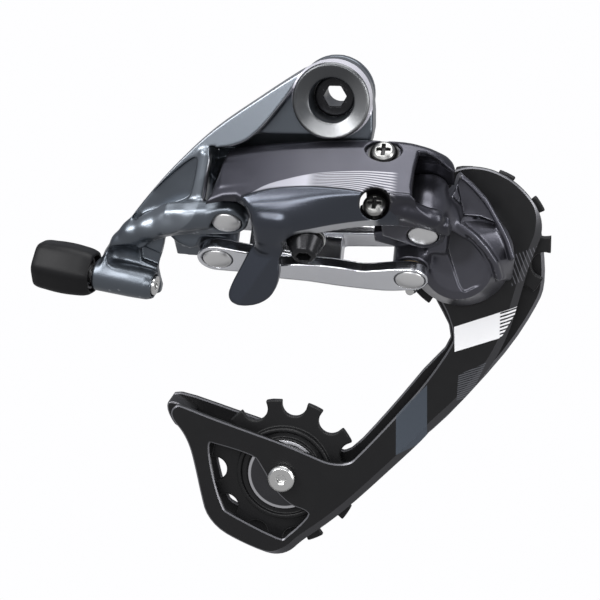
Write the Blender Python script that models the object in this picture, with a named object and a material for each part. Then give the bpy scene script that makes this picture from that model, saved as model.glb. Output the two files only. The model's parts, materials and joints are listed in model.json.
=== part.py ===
"""Rear bicycle derailleur, short cage, with its parallelogram at the resting position.

Metres, +Z up. +X points to the front of the bicycle and +Y inboard, towards the wheel.
Places inside this script are written from the hanger bolt's axis, in millimetres, and
turned into the part's frame by place(): the part's origin is on the seat face that meets
the frame's hanger, SEAT_RADIUS above that axis.
"""

import math

import bmesh
import bpy
from mathutils import Matrix, Vector

MM = 0.001
GAP = 0.35                       # running gap between neighbouring solids

# Driving dimensions, in millimetres
SEAT_RADIUS = 7.0                # of the point on the hanger seat that is the origin
SLANT = math.radians(43.0)       # of the parallelogram's pins above the horizontal
REAR_OUTER = (-31.0, 13.2)       # rear outer pin, along X and across the pins
LINK = (58.4, 3.7)               # from a rear pin to its front pin
PIN_OFFSET = (-4.4, 16.0)        # from an outer pin to its inner pin
REST_LEVEL = -41.0               # lower face of the rear outer ear, along the pins
PIN_R = 2.6
PIN_HEAD_R = 4.4
EAR_R = 6.5
BUSH_R = 3.6
LUG_BORE_R = 3.95

CLAMP_AT = (24.0, 1.8)           # cable pinch bolt, in the outer link
LOW_SCREW_AT = (46.6, -16.4, 17.7)   # X, across and along the pins, from the rear outer pin
HIGH_SCREW_AT = (44.8, -10.7, 2.6)
FIN_Y = (-24.8, -19.6)           # outer and inner face of the cable fin

CAGE_PIVOT = (36.5, -51.8)       # X and Z
GUIDE_CENTRE = (39.9, -49.8)
TENSION_CENTRE = (-19.6, -127.1)
PULLEY_Y = 21.5
CHAIN_PITCH = 12.7
TEETH = 11
PITCH_R = CHAIN_PITCH / 2 / math.sin(math.pi / TEETH)
TOOTH_TIP_R = PITCH_R + 1.7
ROLLER_SEAT_R = 4.0
SEAT_CENTRE_R = PITCH_R + 0.3
OUTER_PLATE = (15.0, 17.0)       # lowest and highest Y
INNER_PLATE = (26.0, 27.8)
RIM_R = 16.0                     # of the P-knuckle where the cage turns on it
KNUCKLE_FACE = 14.5              # Y of that rim's face

BOSS_R = 11.5                    # hanger boss
BOSS_FRONT = -19.0
BOSS_BACK = -2.2
THREAD_R = 4.9                   # M10 x 1 thread of the hanger bolt
THREAD_END = 6.5

ADJUSTER_END = (-91.0, -12.0, -52.7)
ADJUSTER_TIP = (-53.0, -18.0, -57.4)
KNOB_LENGTH = 19.0
KNOB_R = 8.0

X_AXIS = Vector((1, 0, 0))
Y_AXIS = Vector((0, 1, 0))
Z_AXIS = Vector((0, 0, 1))
ALONG = Vector((0, math.cos(SLANT), math.sin(SLANT)))      # along the pins, up and inboard
ACROSS = Vector((0, math.sin(SLANT), -math.cos(SLANT)))    # across the pins, down and inboard
SIDE = (X_AXIS, Z_AXIS, Y_AXIS)
LINKS = (X_AXIS, ACROSS, ALONG)


# ---------------------------------------------------------------- frames and places


def place(x, y, z):
    """A point measured from the hanger bolt's axis, in the part's frame."""
    return Vector((x, y, z - SEAT_RADIUS)) * MM


def pin_point(x, q, level):
    """A point of the parallelogram, from the rear outer pin's lower end."""
    base = X_AXIS * (REAR_OUTER[0] + x)
    base += ACROSS * (REAR_OUTER[1] + q) + ALONG * (REST_LEVEL + level)
    return place(*base)


def frame_at(name, origin, axes):
    """An empty on a joint's axis, which that joint's pieces hang on."""
    empty = bpy.data.objects.new(name, None)
    turn = Matrix((axes[0], axes[1], axes[2])).transposed().to_4x4()
    empty.matrix_world = Matrix.Translation(origin) @ turn
    bpy.context.collection.objects.link(empty)
    return empty


def frame_along(name, origin, direction):
    """An empty whose local Z runs along a direction."""
    z = Vector(direction).normalized()
    x = z.cross(Y_AXIS).normalized()
    return frame_at(name, origin, (x, z.cross(x), z))


# ---------------------------------------------------------------- materials


def finish(name, colour, roughness, metallic):
    material = bpy.data.materials.new(name)
    material.use_nodes = True
    shader = material.node_tree.nodes["Principled BSDF"]
    shader.inputs["Base Color"].default_value = (*colour, 1.0)
    shader.inputs["Roughness"].default_value = roughness
    shader.inputs["Metallic"].default_value = metallic
    return material


# ---------------------------------------------------------------- shapes


def new_object(name, bm, parent, material=None):
    bmesh.ops.remove_doubles(bm, verts=bm.verts, dist=1e-7)
    bmesh.ops.recalc_face_normals(bm, faces=bm.faces)
    mesh = bpy.data.meshes.new(name)
    bm.to_mesh(mesh)
    bm.free()
    mesh.shade_smooth()
    mesh.set_sharp_from_angle(angle=math.radians(35))
    obj = bpy.data.objects.new(name, mesh)
    bpy.context.collection.objects.link(obj)
    obj.parent = parent
    if material:
        mesh.materials.append(material)
    return obj


def prism(name, outline, low, high, parent, material=None):
    """An outline in the frame's local XY, extruded along its local Z."""
    bm = bmesh.new()
    corners = [bm.verts.new((x * MM, y * MM, low * MM)) for x, y in outline]
    base = bm.faces.new(corners)
    moved = bmesh.ops.extrude_face_region(bm, geom=[base])
    tops = [v for v in moved["geom"] if isinstance(v, bmesh.types.BMVert)]
    bmesh.ops.translate(bm, verts=tops, vec=(0, 0, (high - low) * MM))
    return new_object(name, bm, parent, material)


def turned(name, profile, parent, material=None, steps=28, centre=(0, 0)):
    """A profile of radius and height, spun round the frame's local Z through centre."""
    bm = bmesh.new()
    points = [bm.verts.new((r * MM, 0, h * MM)) for r, h in profile]
    edges = [bm.edges.new(pair) for pair in zip(points, points[1:])]
    if profile[0][0] > 0:
        edges.append(bm.edges.new((points[-1], points[0])))
    bmesh.ops.spin(
        bm,
        geom=points + edges,
        cent=(0, 0, 0),
        axis=(0, 0, 1),
        angle=2 * math.pi,
        steps=steps,
        use_merge=True,
    )
    shift = Vector((centre[0], centre[1], 0)) * MM
    bmesh.ops.translate(bm, verts=bm.verts, vec=shift)
    return new_object(name, bm, parent, material)


def rod(name, radius, low, high, parent, material=None, steps=28, centre=(0, 0)):
    profile = [(0, low), (radius, low), (radius, high), (0, high)]
    return turned(name, profile, parent, material, steps, centre)


def tube(name, inner, outer, low, high, parent, material=None, steps=28, centre=(0, 0)):
    profile = [(inner, low), (outer, low), (outer, high), (inner, high)]
    return turned(name, profile, parent, material, steps, centre)


def loft(name, sections, parent, material=None):
    """Closed loops of equal length, bridged one to the next, with flat ends."""
    bm = bmesh.new()
    rings = [[bm.verts.new(Vector(p) * MM) for p in ring] for ring in sections]
    count = len(rings[0])
    for near, far in zip(rings, rings[1:]):
        for i in range(count):
            j = (i + 1) % count
            bm.faces.new((near[i], near[j], far[j], far[i]))
    bm.faces.new(rings[0])
    bm.faces.new(rings[-1])
    return new_object(name, bm, parent, material)


def coil(name, radius, wire, low, turns, pitch, parent, material, centre=(0, 0)):
    """A spring: wire wound round the frame's local Z, with open, filled ends."""
    per_turn = 14
    count = int(turns * per_turn) + 1
    curve = bpy.data.curves.new(name, "CURVE")
    curve.dimensions = "3D"
    curve.bevel_depth = wire * MM
    curve.bevel_resolution = 1
    curve.use_fill_caps = True
    spline = curve.splines.new("POLY")
    spline.points.add(count - 1)
    for i, point in enumerate(spline.points):
        angle = 2 * math.pi * i / per_turn
        x = centre[0] + radius * math.cos(angle)
        y = centre[1] + radius * math.sin(angle)
        z = low + pitch * i / per_turn
        point.co = (x * MM, y * MM, z * MM, 1)
    obj = bpy.data.objects.new(name, curve)
    bpy.context.collection.objects.link(obj)
    obj.parent = parent
    curve.materials.append(material)
    return obj


def arc(centre, radius, start, end, steps):
    """Points on an arc, angles in degrees, both ends included."""
    angles = [math.radians(start + (end - start) * i / steps) for i in range(steps + 1)]
    return [(centre[0] + radius * math.cos(a), centre[1] + radius * math.sin(a)) for a in angles]


def capsule(a, b, ra, rb, steps=8):
    """The outline round two circles and their outer tangents."""
    dx, dy = b[0] - a[0], b[1] - a[1]
    heading = math.degrees(math.atan2(dy, dx))
    lean = math.degrees(math.asin((rb - ra) / math.hypot(dx, dy)))
    near = arc(a, ra, heading + 90 + lean, heading + 270 - lean, steps)
    far = arc(b, rb, heading - 90 - lean, heading + 90 + lean, steps)
    return near + far


# ---------------------------------------------------------------- joining and cutting


def combine(target, tool, operation):
    tool.hide_render = True
    tool.display_type = "WIRE"
    modifier = target.modifiers.new(operation.lower(), "BOOLEAN")
    modifier.operation = operation
    modifier.solver = "EXACT"
    modifier.object = tool


def join(target, *tools):
    for tool in tools:
        combine(target, tool, "UNION")


def cut(target, *tools):
    for tool in tools:
        combine(target, tool, "DIFFERENCE")


# ---------------------------------------------------------------- scene and shared frames


for old in list(bpy.data.objects):
    bpy.data.objects.remove(old, do_unlink=True)

FORGED = finish("forged_grey", (0.09, 0.10, 0.12), 0.28, 0.9)
LINK_GREY = finish("link_grey", (0.08, 0.08, 0.10), 0.30, 0.8)
POLISHED = finish("polished_alloy", (0.72, 0.73, 0.75), 0.22, 1.0)
PEARL = finish("pin_steel", (0.70, 0.70, 0.70), 0.35, 0.9)
BRIGHT = finish("zinc_steel", (0.65, 0.65, 0.62), 0.25, 1.0)
BLACK_STEEL = finish("black_steel", (0.03, 0.03, 0.03), 0.30, 0.7)
BLACK_PLASTIC = finish("black_plastic", (0.02, 0.02, 0.02), 0.45, 0.0)
CAGE_BLACK = finish("cage_black", (0.02, 0.02, 0.02), 0.38, 0.3)
SPRING_STEEL = finish("spring_steel", (0.20, 0.20, 0.20), 0.35, 1.0)
BRONZE = finish("bush_bronze", (0.45, 0.33, 0.18), 0.40, 1.0)

hanger = frame_at("hanger_axis", place(0, 0, 0), (X_AXIS, -Z_AXIS, Y_AXIS))
knuckle_side = frame_at("b_knuckle_side", place(0, 0, 0), (X_AXIS, -Z_AXIS, Y_AXIS))
outer_link_axis = frame_at("outer_link_axis", pin_point(0, 0, 0), LINKS)
inner_link_axis = frame_at("inner_link_axis", pin_point(*PIN_OFFSET, 0), LINKS)
front_axis = frame_at("p_knuckle_axis", pin_point(*LINK, 0), LINKS)
cage_axis = frame_at(
    "cage_axis", place(CAGE_PIVOT[0], 0, CAGE_PIVOT[1]), (X_AXIS, -Z_AXIS, Y_AXIS)
)
guide_axis = frame_at(
    "guide_axis", place(GUIDE_CENTRE[0], PULLEY_Y, GUIDE_CENTRE[1]), (X_AXIS, -Z_AXIS, Y_AXIS)
)
tension_axis = frame_at(
    "tension_axis", place(TENSION_CENTRE[0], PULLEY_Y, TENSION_CENTRE[1]), (X_AXIS, -Z_AXIS, Y_AXIS)
)
adjuster_axis = frame_along(
    "adjuster_axis",
    place(*ADJUSTER_END),
    Vector(ADJUSTER_TIP) - Vector(ADJUSTER_END),
)


def side(points):
    """X and Z, written as seen from outboard, as a side frame's local XY."""
    return [(x, -z) for x, z in points]


def about(centre, points):
    """Side points moved to a frame whose axis is at centre."""
    return side([(x - centre[0], z - centre[1]) for x, z in points])


# ---------------------------------------------------------------- hanger mount


def hexagon(flats):
    return arc((0, 0), flats / math.sqrt(3), 0, 300, 5)


def hanger_bolt():
    profile = [
        (3.9, THREAD_END),
        (THREAD_R - 0.6, THREAD_END),
        (THREAD_R, THREAD_END - 0.8),
        (THREAD_R, -2.0),
        (5.0, -2.0),
        (5.0, -6.4),
        (6.1, -6.4),
        (6.1, -8.8),
        (5.6, -9.2),
        (2.6, -9.2),
        (2.6, -6.4),
        (3.9, -5.4),
    ]
    bolt = turned("hanger_bolt", profile, hanger, BLACK_STEEL, 24)
    cut(bolt, prism("hanger_bolt_hex", hexagon(6.0), -11.5, -5.9, hanger))


def hanger_bushing():
    tube("hanger_bushing", 5.35, 7.1, -4.8, -2.2, hanger, BRONZE, 24)


def retaining_ring():
    tube("hanger_retaining_ring", 5.35, 7.1, -6.05, -5.15, hanger, SPRING_STEEL, 24)


def b_stop_plate():
    """The plate between hanger and knuckle, whose tail the tension screw rests on."""
    ring = arc((0, 0), 10.6, -30, 240, 18)
    tail = [(-6.5, -14.0), (-5.0, -17.0), (5.0, -17.0), (9.5, -15.0)]
    plate = prism("b_stop_plate", side(ring + tail), -1.8, 0.0, hanger, BLACK_STEEL)
    cut(plate, rod("b_stop_plate_bore", 5.3, -3, 1, hanger, steps=24))
    tab = prism("b_stop_tab", side([(-6.2, -13.5), (-3.8, -13.5), (-3.8, -16.8), (-6.2, -16.8)]),
                -6.5, -0.5, hanger)
    join(plate, tab)


# ---------------------------------------------------------------- B-knuckle


WING = [
    (-5.0, 10.4), (-9.6, 7.7), (-27.2, -3.5), (-37.4, -11.4), (-45.3, -19.3), (-53.2, -27.8),
    (-61.0, -37.2), (-67.3, -46.2), (-70.2, -53.2), (-70.4, -58.5), (-64.0, -59.5),
    (-57.5, -55.0), (-58.5, -48.0), (-53.0, -42.5), (-43.0, -38.5), (-39.8, -33.0),
    (-37.6, -16.5), (-24.5, -13.0), (-18.5, -9.5), (-11.0, -4.0),
]
BODY = [
    (-8.0, 7.6), (-22.0, -3.0), (-37.0, -15.0), (-45.0, -24.0), (-51.0, -31.0),
    (-50.0, -43.0), (-41.0, -47.0), (-38.0, -33.0), (-34.0, -26.0), (-14.0, -27.0),
    (6.0, -16.0), (11.4, -14.6), (11.4, 0.0), (8.0, 8.0), (0.0, 10.8),
]


def b_knuckle():
    """Hanger boss, swept wing, two ears on the outer pin, a lug on the inner pin."""
    boss = turned(
        "b_knuckle",
        [(6.0, BOSS_FRONT + 2.2), (8.5, BOSS_FRONT + 0.9), (10.8, BOSS_FRONT),
         (BOSS_R, BOSS_FRONT + 0.8), (BOSS_R, BOSS_BACK), (6.0, BOSS_BACK)],
        knuckle_side, FORGED, 40,
    )
    wing = prism("b_knuckle_wing", side(WING), -17.8, -10.5, knuckle_side)
    body = prism("b_knuckle_body", side(BODY), -12.0, -2.3, knuckle_side)
    lower_ear = prism(
        "b_knuckle_lower_ear",
        arc((0, 0), EAR_R, -75, 90, 8) + [(-9.0, 8.2), (-22.0, 8.6), (-31.0, 3.5), (-20.0, -4.0)],
        0.8, 5.5, outer_link_axis,
    )
    upper_ear = prism(
        "b_knuckle_upper_ear",
        arc((0, 0), EAR_R, -60, 90, 8) + [(-11.0, 8.0), (-6.5, -7.5), (0.0, -8.0)],
        20.5, 25.5, outer_link_axis,
    )
    inner_lug = prism(
        "b_knuckle_inner_lug",
        arc((0, 0), 5.8, -100, 100, 10) + [(-13.5, 4.5), (-13.5, -9.0)],
        3.0, 13.4, inner_link_axis,
    )
    housing = rod("b_knuckle_housing", 4.9, KNOB_LENGTH + GAP, 38.4, adjuster_axis, steps=24)
    join(boss, wing, body, lower_ear, upper_ear, inner_lug, housing)
    cut_b_knuckle(boss)
    return boss


TAB_SWEEP = arc((0, 0), 12.6, 116, 70, 6) + arc((0, 0), 19.0, 70, 116, 6)


def cut_b_knuckle(knuckle):
    """Bores, the outer link's sweep, and the room that the inner link's ears turn in."""
    sweep = arc((0, 0), 7.4, 45, -125, 12) + [(-5.4, -40.0), (80.0, -40.0), (80.0, 40.0), (9.0, 40.0)]
    cut(
        knuckle,
        rod("b_knuckle_bore", 7.45, -6.3, 0, knuckle_side, steps=24),
        rod("b_knuckle_front_bore", 6.5, -20, 0, knuckle_side, steps=32),
        prism("b_knuckle_link_room", sweep, 5.9, 23.4, outer_link_axis),
        rod("b_knuckle_lug_room", 7.4, 5.9, 20.15, outer_link_axis, steps=32),
        rod("b_knuckle_outer_pin_hole", PIN_R + 0.3, -3, 30, outer_link_axis, steps=20),
        rod("b_knuckle_outer_pin_head", PIN_HEAD_R + 0.3, -3, 1.9, outer_link_axis, steps=24),
        rod("b_knuckle_lower_inner_room", 7.4, -12.0, 2.65, inner_link_axis, steps=28),
        rod("b_knuckle_upper_inner_room", 7.4, 13.75, 40.0, inner_link_axis, steps=28),
        rod("b_knuckle_inner_pin_hole", LUG_BORE_R, 0, 20, inner_link_axis, steps=20),
        rod("b_knuckle_stem_hole", 3.35, 15, 42, adjuster_axis, steps=20),
        rod("b_knuckle_rivet_room", 4.2, 25.2, 45, outer_link_axis, steps=20),
        prism("b_knuckle_tab_room", TAB_SWEEP, -7.2, 0, knuckle_side),
        rod("b_knuckle_screw_hole", 1.95, -32, 5, b_screw_axis, steps=16),
        rod("b_knuckle_screw_head_room", 3.4, -60, -14.5, b_screw_axis, steps=20),
    )


b_screw_axis = frame_at("b_screw_axis", place(-6.9, -5.0, -15.2), (Y_AXIS, Z_AXIS, X_AXIS))


def socket_screw(name, head_r, head_low, shaft_r, tip, parent, material, flats, steps=20):
    """A cap screw: domed head at head_low, shaft to tip, and a hexagonal socket."""
    head = 2.6 if tip > head_low else -2.6
    profile = [
        (0, head_low), (head_r - 0.5, head_low), (head_r, head_low + head * 0.25),
        (head_r, head_low + head), (shaft_r, head_low + head), (shaft_r, tip), (0, tip),
    ]
    screw = turned(name, profile, parent, material, steps)
    low, high = sorted((head_low - head, head_low + head * 0.7))
    cut(screw, prism(name + "_socket", hexagon(flats), low, high, parent))
    return screw


def b_tension_screw():
    socket_screw("b_tension_screw", 2.9, -17.5, 1.6, 0.2, b_screw_axis, BLACK_STEEL, 2.5)


# ---------------------------------------------------------------- barrel adjuster


def barrel_adjuster():
    """Six-sided knob with a rounded outer end and a pocket for its detent spring."""
    rings = []
    for height, radius in ((0.0, 6.2), (1.4, 7.4), (5.0, 8.0), (14.5, 8.0), (18.2, 7.3), (KNOB_LENGTH, 6.7)):
        ring = []
        for i in range(12):
            reach = radius if i % 2 else radius * 0.965
            angle = math.radians(30 * i)
            ring.append((reach * math.cos(angle), reach * math.sin(angle), height))
        rings.append(ring)
    knob = loft("barrel_adjuster", rings, adjuster_axis, BLACK_PLASTIC)
    cut(
        knob,
        rod("barrel_adjuster_bore", 3.3, -1, 25, adjuster_axis, steps=20),
        rod("barrel_adjuster_pocket", 5.6, 11.0, 25, adjuster_axis, steps=24),
        rod("barrel_adjuster_ferrule_seat", 3.6, -1, 2.0, adjuster_axis, steps=20),
    )


def adjuster_stem():
    tube("adjuster_stem", 1.3, 2.95, 2.6, 38.9, adjuster_axis, BRIGHT, 16)


def adjuster_spring():
    coil("adjuster_spring", 4.5, 0.5, 12.0, 3.5, 1.7, adjuster_axis, SPRING_STEEL)


# ---------------------------------------------------------------- pins and bushes


def pivot_pin(name, low, high, parent, centre=(0, 0)):
    """A pin with a domed lower head sunk in its ear and a riveted upper end."""
    profile = [
        (0, low - 1.0), (1.6, low - 0.85), (3.1, low - 0.4), (PIN_HEAD_R, low + 0.25),
        (PIN_HEAD_R, low + 0.8), (PIN_R, low + 0.8), (PIN_R, high + 0.35),
        (3.5, high + 0.35), (3.0, high + 1.1), (0, high + 1.3),
    ]
    turned(name, profile, parent, PEARL, 20, centre)


def pivot_bush(name, low, high, parent, centre=(0, 0)):
    tube(name, PIN_R + 0.3, BUSH_R, low, high, parent, BRONZE, 16, centre)


def pins_and_bushes():
    inner_from_front = (PIN_OFFSET[0], PIN_OFFSET[1])
    inner_from_rear_inner = LINK
    pivot_pin("rear_outer_pin", 0.8, 25.5, outer_link_axis)
    pivot_pin("rear_inner_pin", -1.5, 17.2, inner_link_axis)
    pivot_pin("front_outer_pin", 0.8, 22.0, outer_link_axis, LINK)
    pivot_pin("front_inner_pin", -4.5, 13.2, inner_link_axis, inner_from_rear_inner)
    pivot_bush("rear_outer_bush", 6.3, 14.2, outer_link_axis)
    pivot_bush("rear_inner_bush", 3.2, 13.2, inner_link_axis)
    pivot_bush("front_outer_bush", 5.8, 19.0, front_axis)
    pivot_bush("front_inner_bush", 0.6, 8.9, front_axis, inner_from_front)


def return_spring():
    coil("return_spring", 4.3, 0.6, 15.6, 2.5, 1.5, outer_link_axis, SPRING_STEEL)


# ---------------------------------------------------------------- outer link


def link_section(x, front, top, bottom, flange):
    """A channel, open inboard: top flange, bulging front wall and rolled lower flange."""
    wall = 2.6
    outer = [
        (flange, top), (front + 3.0, top), (front + 0.9, top - 1.2), (front, top - 4.5),
        (front, top - 10.5), (front + 2.2, bottom + 7.0), (front + 6.4, bottom + 2.0),
        (front + 12.5, bottom),
    ]
    inner = [
        (front + 12.5, bottom + wall), (front + 7.6, bottom + wall + 1.8),
        (front + 4.6, bottom + 8.2), (front + wall, top - 10.5), (front + wall, top - 4.6),
        (front + wall + 0.6, top - wall), (flange, top - wall),
    ]
    return [(x, q, level) for q, level in outer + inner]


def outer_link():
    stations = [
        # X, front wall, top, bottom, flange edge
        (0.6, -12.2, 21.2, 1.2, -1.0),
        (7.0, -13.6, 21.4, -2.6, 2.0),
        (19.0, -15.2, 21.8, -3.4, 3.0),
        (33.0, -16.2, 22.2, -1.8, 3.5),
        (46.0, -16.4, 22.4, -0.9, 4.0),
        (56.0, -15.4, 22.1, -0.6, 4.0),
        (62.0, -12.6, 21.2, -0.4, 4.0),
        (66.0, -9.6, 20.4, 0.0, 4.0),
    ]
    link = loft(
        "outer_link", [link_section(*row) for row in stations], outer_link_axis, LINK_GREY
    )
    rear_lug = prism(
        "outer_link_rear_lug",
        arc((0, 0), 5.6, 75, 230, 8) + [(-1.0, -11.5), (9.0, -13.0), (14.0, -8.0), (9.0, 4.5)],
        6.0, 14.5, outer_link_axis,
    )
    lower_ear = prism(
        "outer_link_lower_ear",
        arc(LINK, EAR_R, -60, 110, 9) + [(44.0, 3.0), (40.0, -6.0), (52.0, -11.0), (63.0, -7.5)],
        0.8, 5.0, outer_link_axis,
    )
    upper_ear = prism(
        "outer_link_upper_ear",
        arc(LINK, EAR_R, -60, 110, 9) + [(44.0, 5.0), (44.0, -12.0), (54.5, -12.0), (60.5, -6.0)],
        19.9, 22.0, outer_link_axis,
    )
    clamp_pad = rod("outer_link_clamp_pad", 5.0, -1.7, 4.0, outer_link_axis, centre=CLAMP_AT)
    screw_boss_low = prism(
        "outer_link_screw_boss", [(42.0, -14.5), (50.0, -14.0), (50.0, -4.5), (42.0, -4.5)],
        0.2, 19.9, outer_link_axis,
    )
    join(link, rear_lug, lower_ear, upper_ear, clamp_pad, screw_boss_low, cable_fin())
    cut_outer_link(link)


def cable_fin():
    """The tongue below the link that guides the cable to its clamp."""
    fin = [
        (-22.6, -33.0), (-21.7, -40.4), (-24.4, -45.6), (-26.8, -50.0), (-29.2, -54.6),
        (-30.1, -58.2), (-28.8, -60.4), (-25.6, -61.2), (-21.0, -60.6), (-17.4, -58.4),
        (-15.3, -54.6), (-14.6, -50.0), (-14.2, -45.4), (-11.0, -40.0), (-11.0, -33.0),
    ]
    sections = [[link_point(x - REAR_OUTER[0], y, z) for x, z in fin] for y in FIN_Y]
    return loft("outer_link_fin", sections, outer_link_axis)


def link_point(x, y, z):
    """A point given by X from the rear outer pin and by world Y and Z, in the link's axes."""
    world = Vector((0, y, z))
    return (x, world.dot(ACROSS) - REAR_OUTER[1], world.dot(ALONG) - REST_LEVEL)


def cut_outer_link(link):
    """Room for the rear ears, the fork for the P-knuckle, pin holes and screw holes."""
    fork = [(54.0, 20.0), (54.0, -3.0), (54.8, -20.0), (80.0, -20.0), (80.0, 20.0)]
    cut(
        link,
        rod("outer_link_lower_room", 7.5, -12, 5.85, outer_link_axis, steps=32),
        prism("outer_link_arm_room", [(-20, -9), (2.5, -9), (4.0, 7.5), (-20, 12)], -12, 5.85,
              outer_link_axis),
        rod("outer_link_upper_room", 7.5, 14.85, 30, outer_link_axis, steps=32),
        prism("outer_link_fork", fork, 5.35, 19.55, outer_link_axis),
        rod("outer_link_rear_bore", LUG_BORE_R, 0, 20, outer_link_axis, steps=20),
        rod("outer_link_front_bore", PIN_R + 0.3, -5, 30, outer_link_axis, steps=20, centre=LINK),
        rod("outer_link_front_head", PIN_HEAD_R + 0.3, -5, 1.9, outer_link_axis, steps=24,
            centre=LINK),
        rod("outer_link_clamp_face", 6.4, -12, -1.75, outer_link_axis, steps=24, centre=CLAMP_AT),
        rod("outer_link_clamp_hole", 2.3, -5, 3.0, outer_link_axis, steps=16, centre=CLAMP_AT),
    )
    for name, axis in (("low", low_screw_axis), ("high", high_screw_axis)):
        cut(
            link,
            rod(f"outer_link_{name}_hole", 2.1, -2, 30, axis, steps=16),
            rod(f"outer_link_{name}_head_room", 3.85, -8, 2.6, axis, steps=24),
        )


def screw_axis(name, x, q, level):
    """A limit screw's frame, on its head: local Z runs inboard across the pins."""
    return frame_at(name, pin_point(x, q, level), (X_AXIS, -ALONG, ACROSS))


low_screw_axis = screw_axis("low_screw_axis", *LOW_SCREW_AT)
high_screw_axis = screw_axis("high_screw_axis", *HIGH_SCREW_AT)


def limit_screw(name, axis, length):
    """A crosshead screw that sets one end of the parallelogram's swing."""
    profile = [
        (0, 0.2), (2.2, 0.2), (3.4, 0.9), (3.5, 2.2), (1.7, 2.2), (1.7, length), (0, length),
    ]
    screw = turned(name, profile, axis, BRIGHT, 20)
    for label, (reach, half) in (("a", (2.0, 0.45)), ("b", (0.45, 2.0))):
        slot = [(-reach, -half), (reach, -half), (reach, half), (-reach, half)]
        cut(screw, prism(f"{name}_slot_{label}", slot, -1, 1.4, axis))


def limit_screws():
    limit_screw("low_limit_screw", low_screw_axis, 15.0)
    limit_screw("high_limit_screw", high_screw_axis, 9.0)


# ---------------------------------------------------------------- cable clamp


clamp_axis = frame_at("clamp_axis", pin_point(*CLAMP_AT, 0), LINKS)


def cable_clamp():
    """A conical socket bolt under the link and the washer that traps the cable."""
    profile = [
        (0, -9.2), (3.0, -9.2), (3.5, -8.7), (5.6, -4.2), (5.6, -3.4), (1.9, -3.4),
        (1.9, 2.6), (0, 2.6),
    ]
    bolt = turned("cable_pinch_bolt", profile, clamp_axis, BLACK_STEEL, 24)
    cut(bolt, prism("cable_pinch_socket", hexagon(4.0), -11, -6.5, clamp_axis))
    tube("cable_clamp_washer", 2.25, 6.0, -3.05, -2.05, clamp_axis, BRIGHT, 24)


# ---------------------------------------------------------------- inner link


def inner_link():
    """A channel-shaped link: two plates on the pins, joined by a block between the lugs."""
    far = LINK
    lower_rear = capsule((0, 0), (22.0, 3.8), 6.2, 4.2)
    link = prism("inner_link", lower_rear, -1.5, 2.5, inner_link_axis, POLISHED)
    lower_front = prism(
        "inner_link_lower_front",
        arc(far, 5.4, -100, 60, 8) + [(50.0, 10.0), (38.0, 10.5), (18.0, 7.8), (12.0, 1.0),
                                      (36.0, 2.2), (46.0, 4.0), (52.0, -0.5)],
        -4.5, -0.6, inner_link_axis,
    )
    upper_rear = prism(
        "inner_link_upper_rear", capsule((0, 0), (24.0, 4.4), 6.2, 4.2), 13.9, 17.2, inner_link_axis
    )
    upper_front = prism(
        "inner_link_upper_front", capsule((20.0, 4.6), (54.0, 3.9), 4.2, 3.4), 9.9, 13.2,
        inner_link_axis,
    )
    front_ear = rod("inner_link_front_ear", 5.2, 9.9, 13.2, inner_link_axis, centre=far)
    block = prism(
        "inner_link_block", [(9.0, 0.5), (37.0, 2.5), (37.0, 9.6), (18.0, 7.6), (9.0, 5.0)],
        -2.6, 16.0, inner_link_axis,
    )
    join(link, lower_front, upper_rear, upper_front, front_ear, block)
    for name, centre, seat in (("rear", (0, 0), -0.4), ("front", far, -3.4)):
        cut(
            link,
            rod(f"inner_link_{name}_bore", PIN_R + 0.3, -9, 30, inner_link_axis, steps=20,
                centre=centre),
            rod(f"inner_link_{name}_head", PIN_HEAD_R + 0.3, -9, seat, inner_link_axis, steps=24,
                centre=centre),
        )


# ---------------------------------------------------------------- P-knuckle


def p_knuckle():
    """Round spring housing, the skirt and ridges that rise to the two front pivots."""
    knuckle = turned(
        "p_knuckle",
        [(0, -3.4), (8.5, -3.4), (10.8, -1.6), (12.4, 3.0), (14.6, 8.0), (RIM_R, 11.0),
         (RIM_R, KNUCKLE_FACE), (0, KNUCKLE_FACE)],
        cage_axis, FORGED, 40,
    )
    outer_lug = rod("p_knuckle_outer_lug", 6.4, 5.4, 19.4, front_axis, steps=28)
    inner_lug = rod("p_knuckle_inner_lug", 5.6, 0.2, 9.3, front_axis, steps=24, centre=PIN_OFFSET)
    join(knuckle, outer_lug, inner_lug, *knuckle_webs())
    cut_p_knuckle(knuckle)


def knuckle_webs():
    """The skirt from rim to outer lug, the web between lugs, and the two stop tabs."""
    skirt = loft(
        "p_knuckle_skirt",
        [
            [front_point(*p) for p in ((21.5, -14.0, -37.0), (34.5, -14.5, -33.5),
                                       (34.0, -3.0, -26.0), (22.5, -3.5, -28.5))],
            [front_point(*p) for p in ((27.0, -2.5, -50.0), (47.5, -2.5, -46.5),
                                       (49.5, 9.0, -42.0), (27.0, 9.0, -38.0))],
        ],
        front_axis,
    )
    web = prism(
        "p_knuckle_web", capsule((0.5, 1.0), PIN_OFFSET, 5.0, 4.6), 5.4, 9.3, front_axis
    )
    arm = prism(
        "p_knuckle_limit_arm",
        [(-15.5, 6.0), (-15.5, 10.5), (-7.0, 14.0), (2.0, 10.0), (0.0, 2.0)],
        5.6, 9.2, front_axis,
    )
    stop = prism(
        "p_knuckle_cage_stop", about(CAGE_PIVOT, [(18.6, -60.0), (24.0, -62.0), (24.0, -54.0), (18.6, -54.0)]),
        9.5, KNUCKLE_FACE - 0.6, cage_axis,
    )
    return skirt, web, arm, stop


def front_point(x, y, z):
    """A point given from the hanger bolt's axis, in the front axis's own frame."""
    from_pin = Vector((x - REAR_OUTER[0] - LINK[0], 0, 0))
    world = Vector((0, y, z))
    return (
        from_pin.x,
        world.dot(ACROSS) - REAR_OUTER[1] - LINK[1],
        world.dot(ALONG) - REST_LEVEL,
    )


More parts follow.
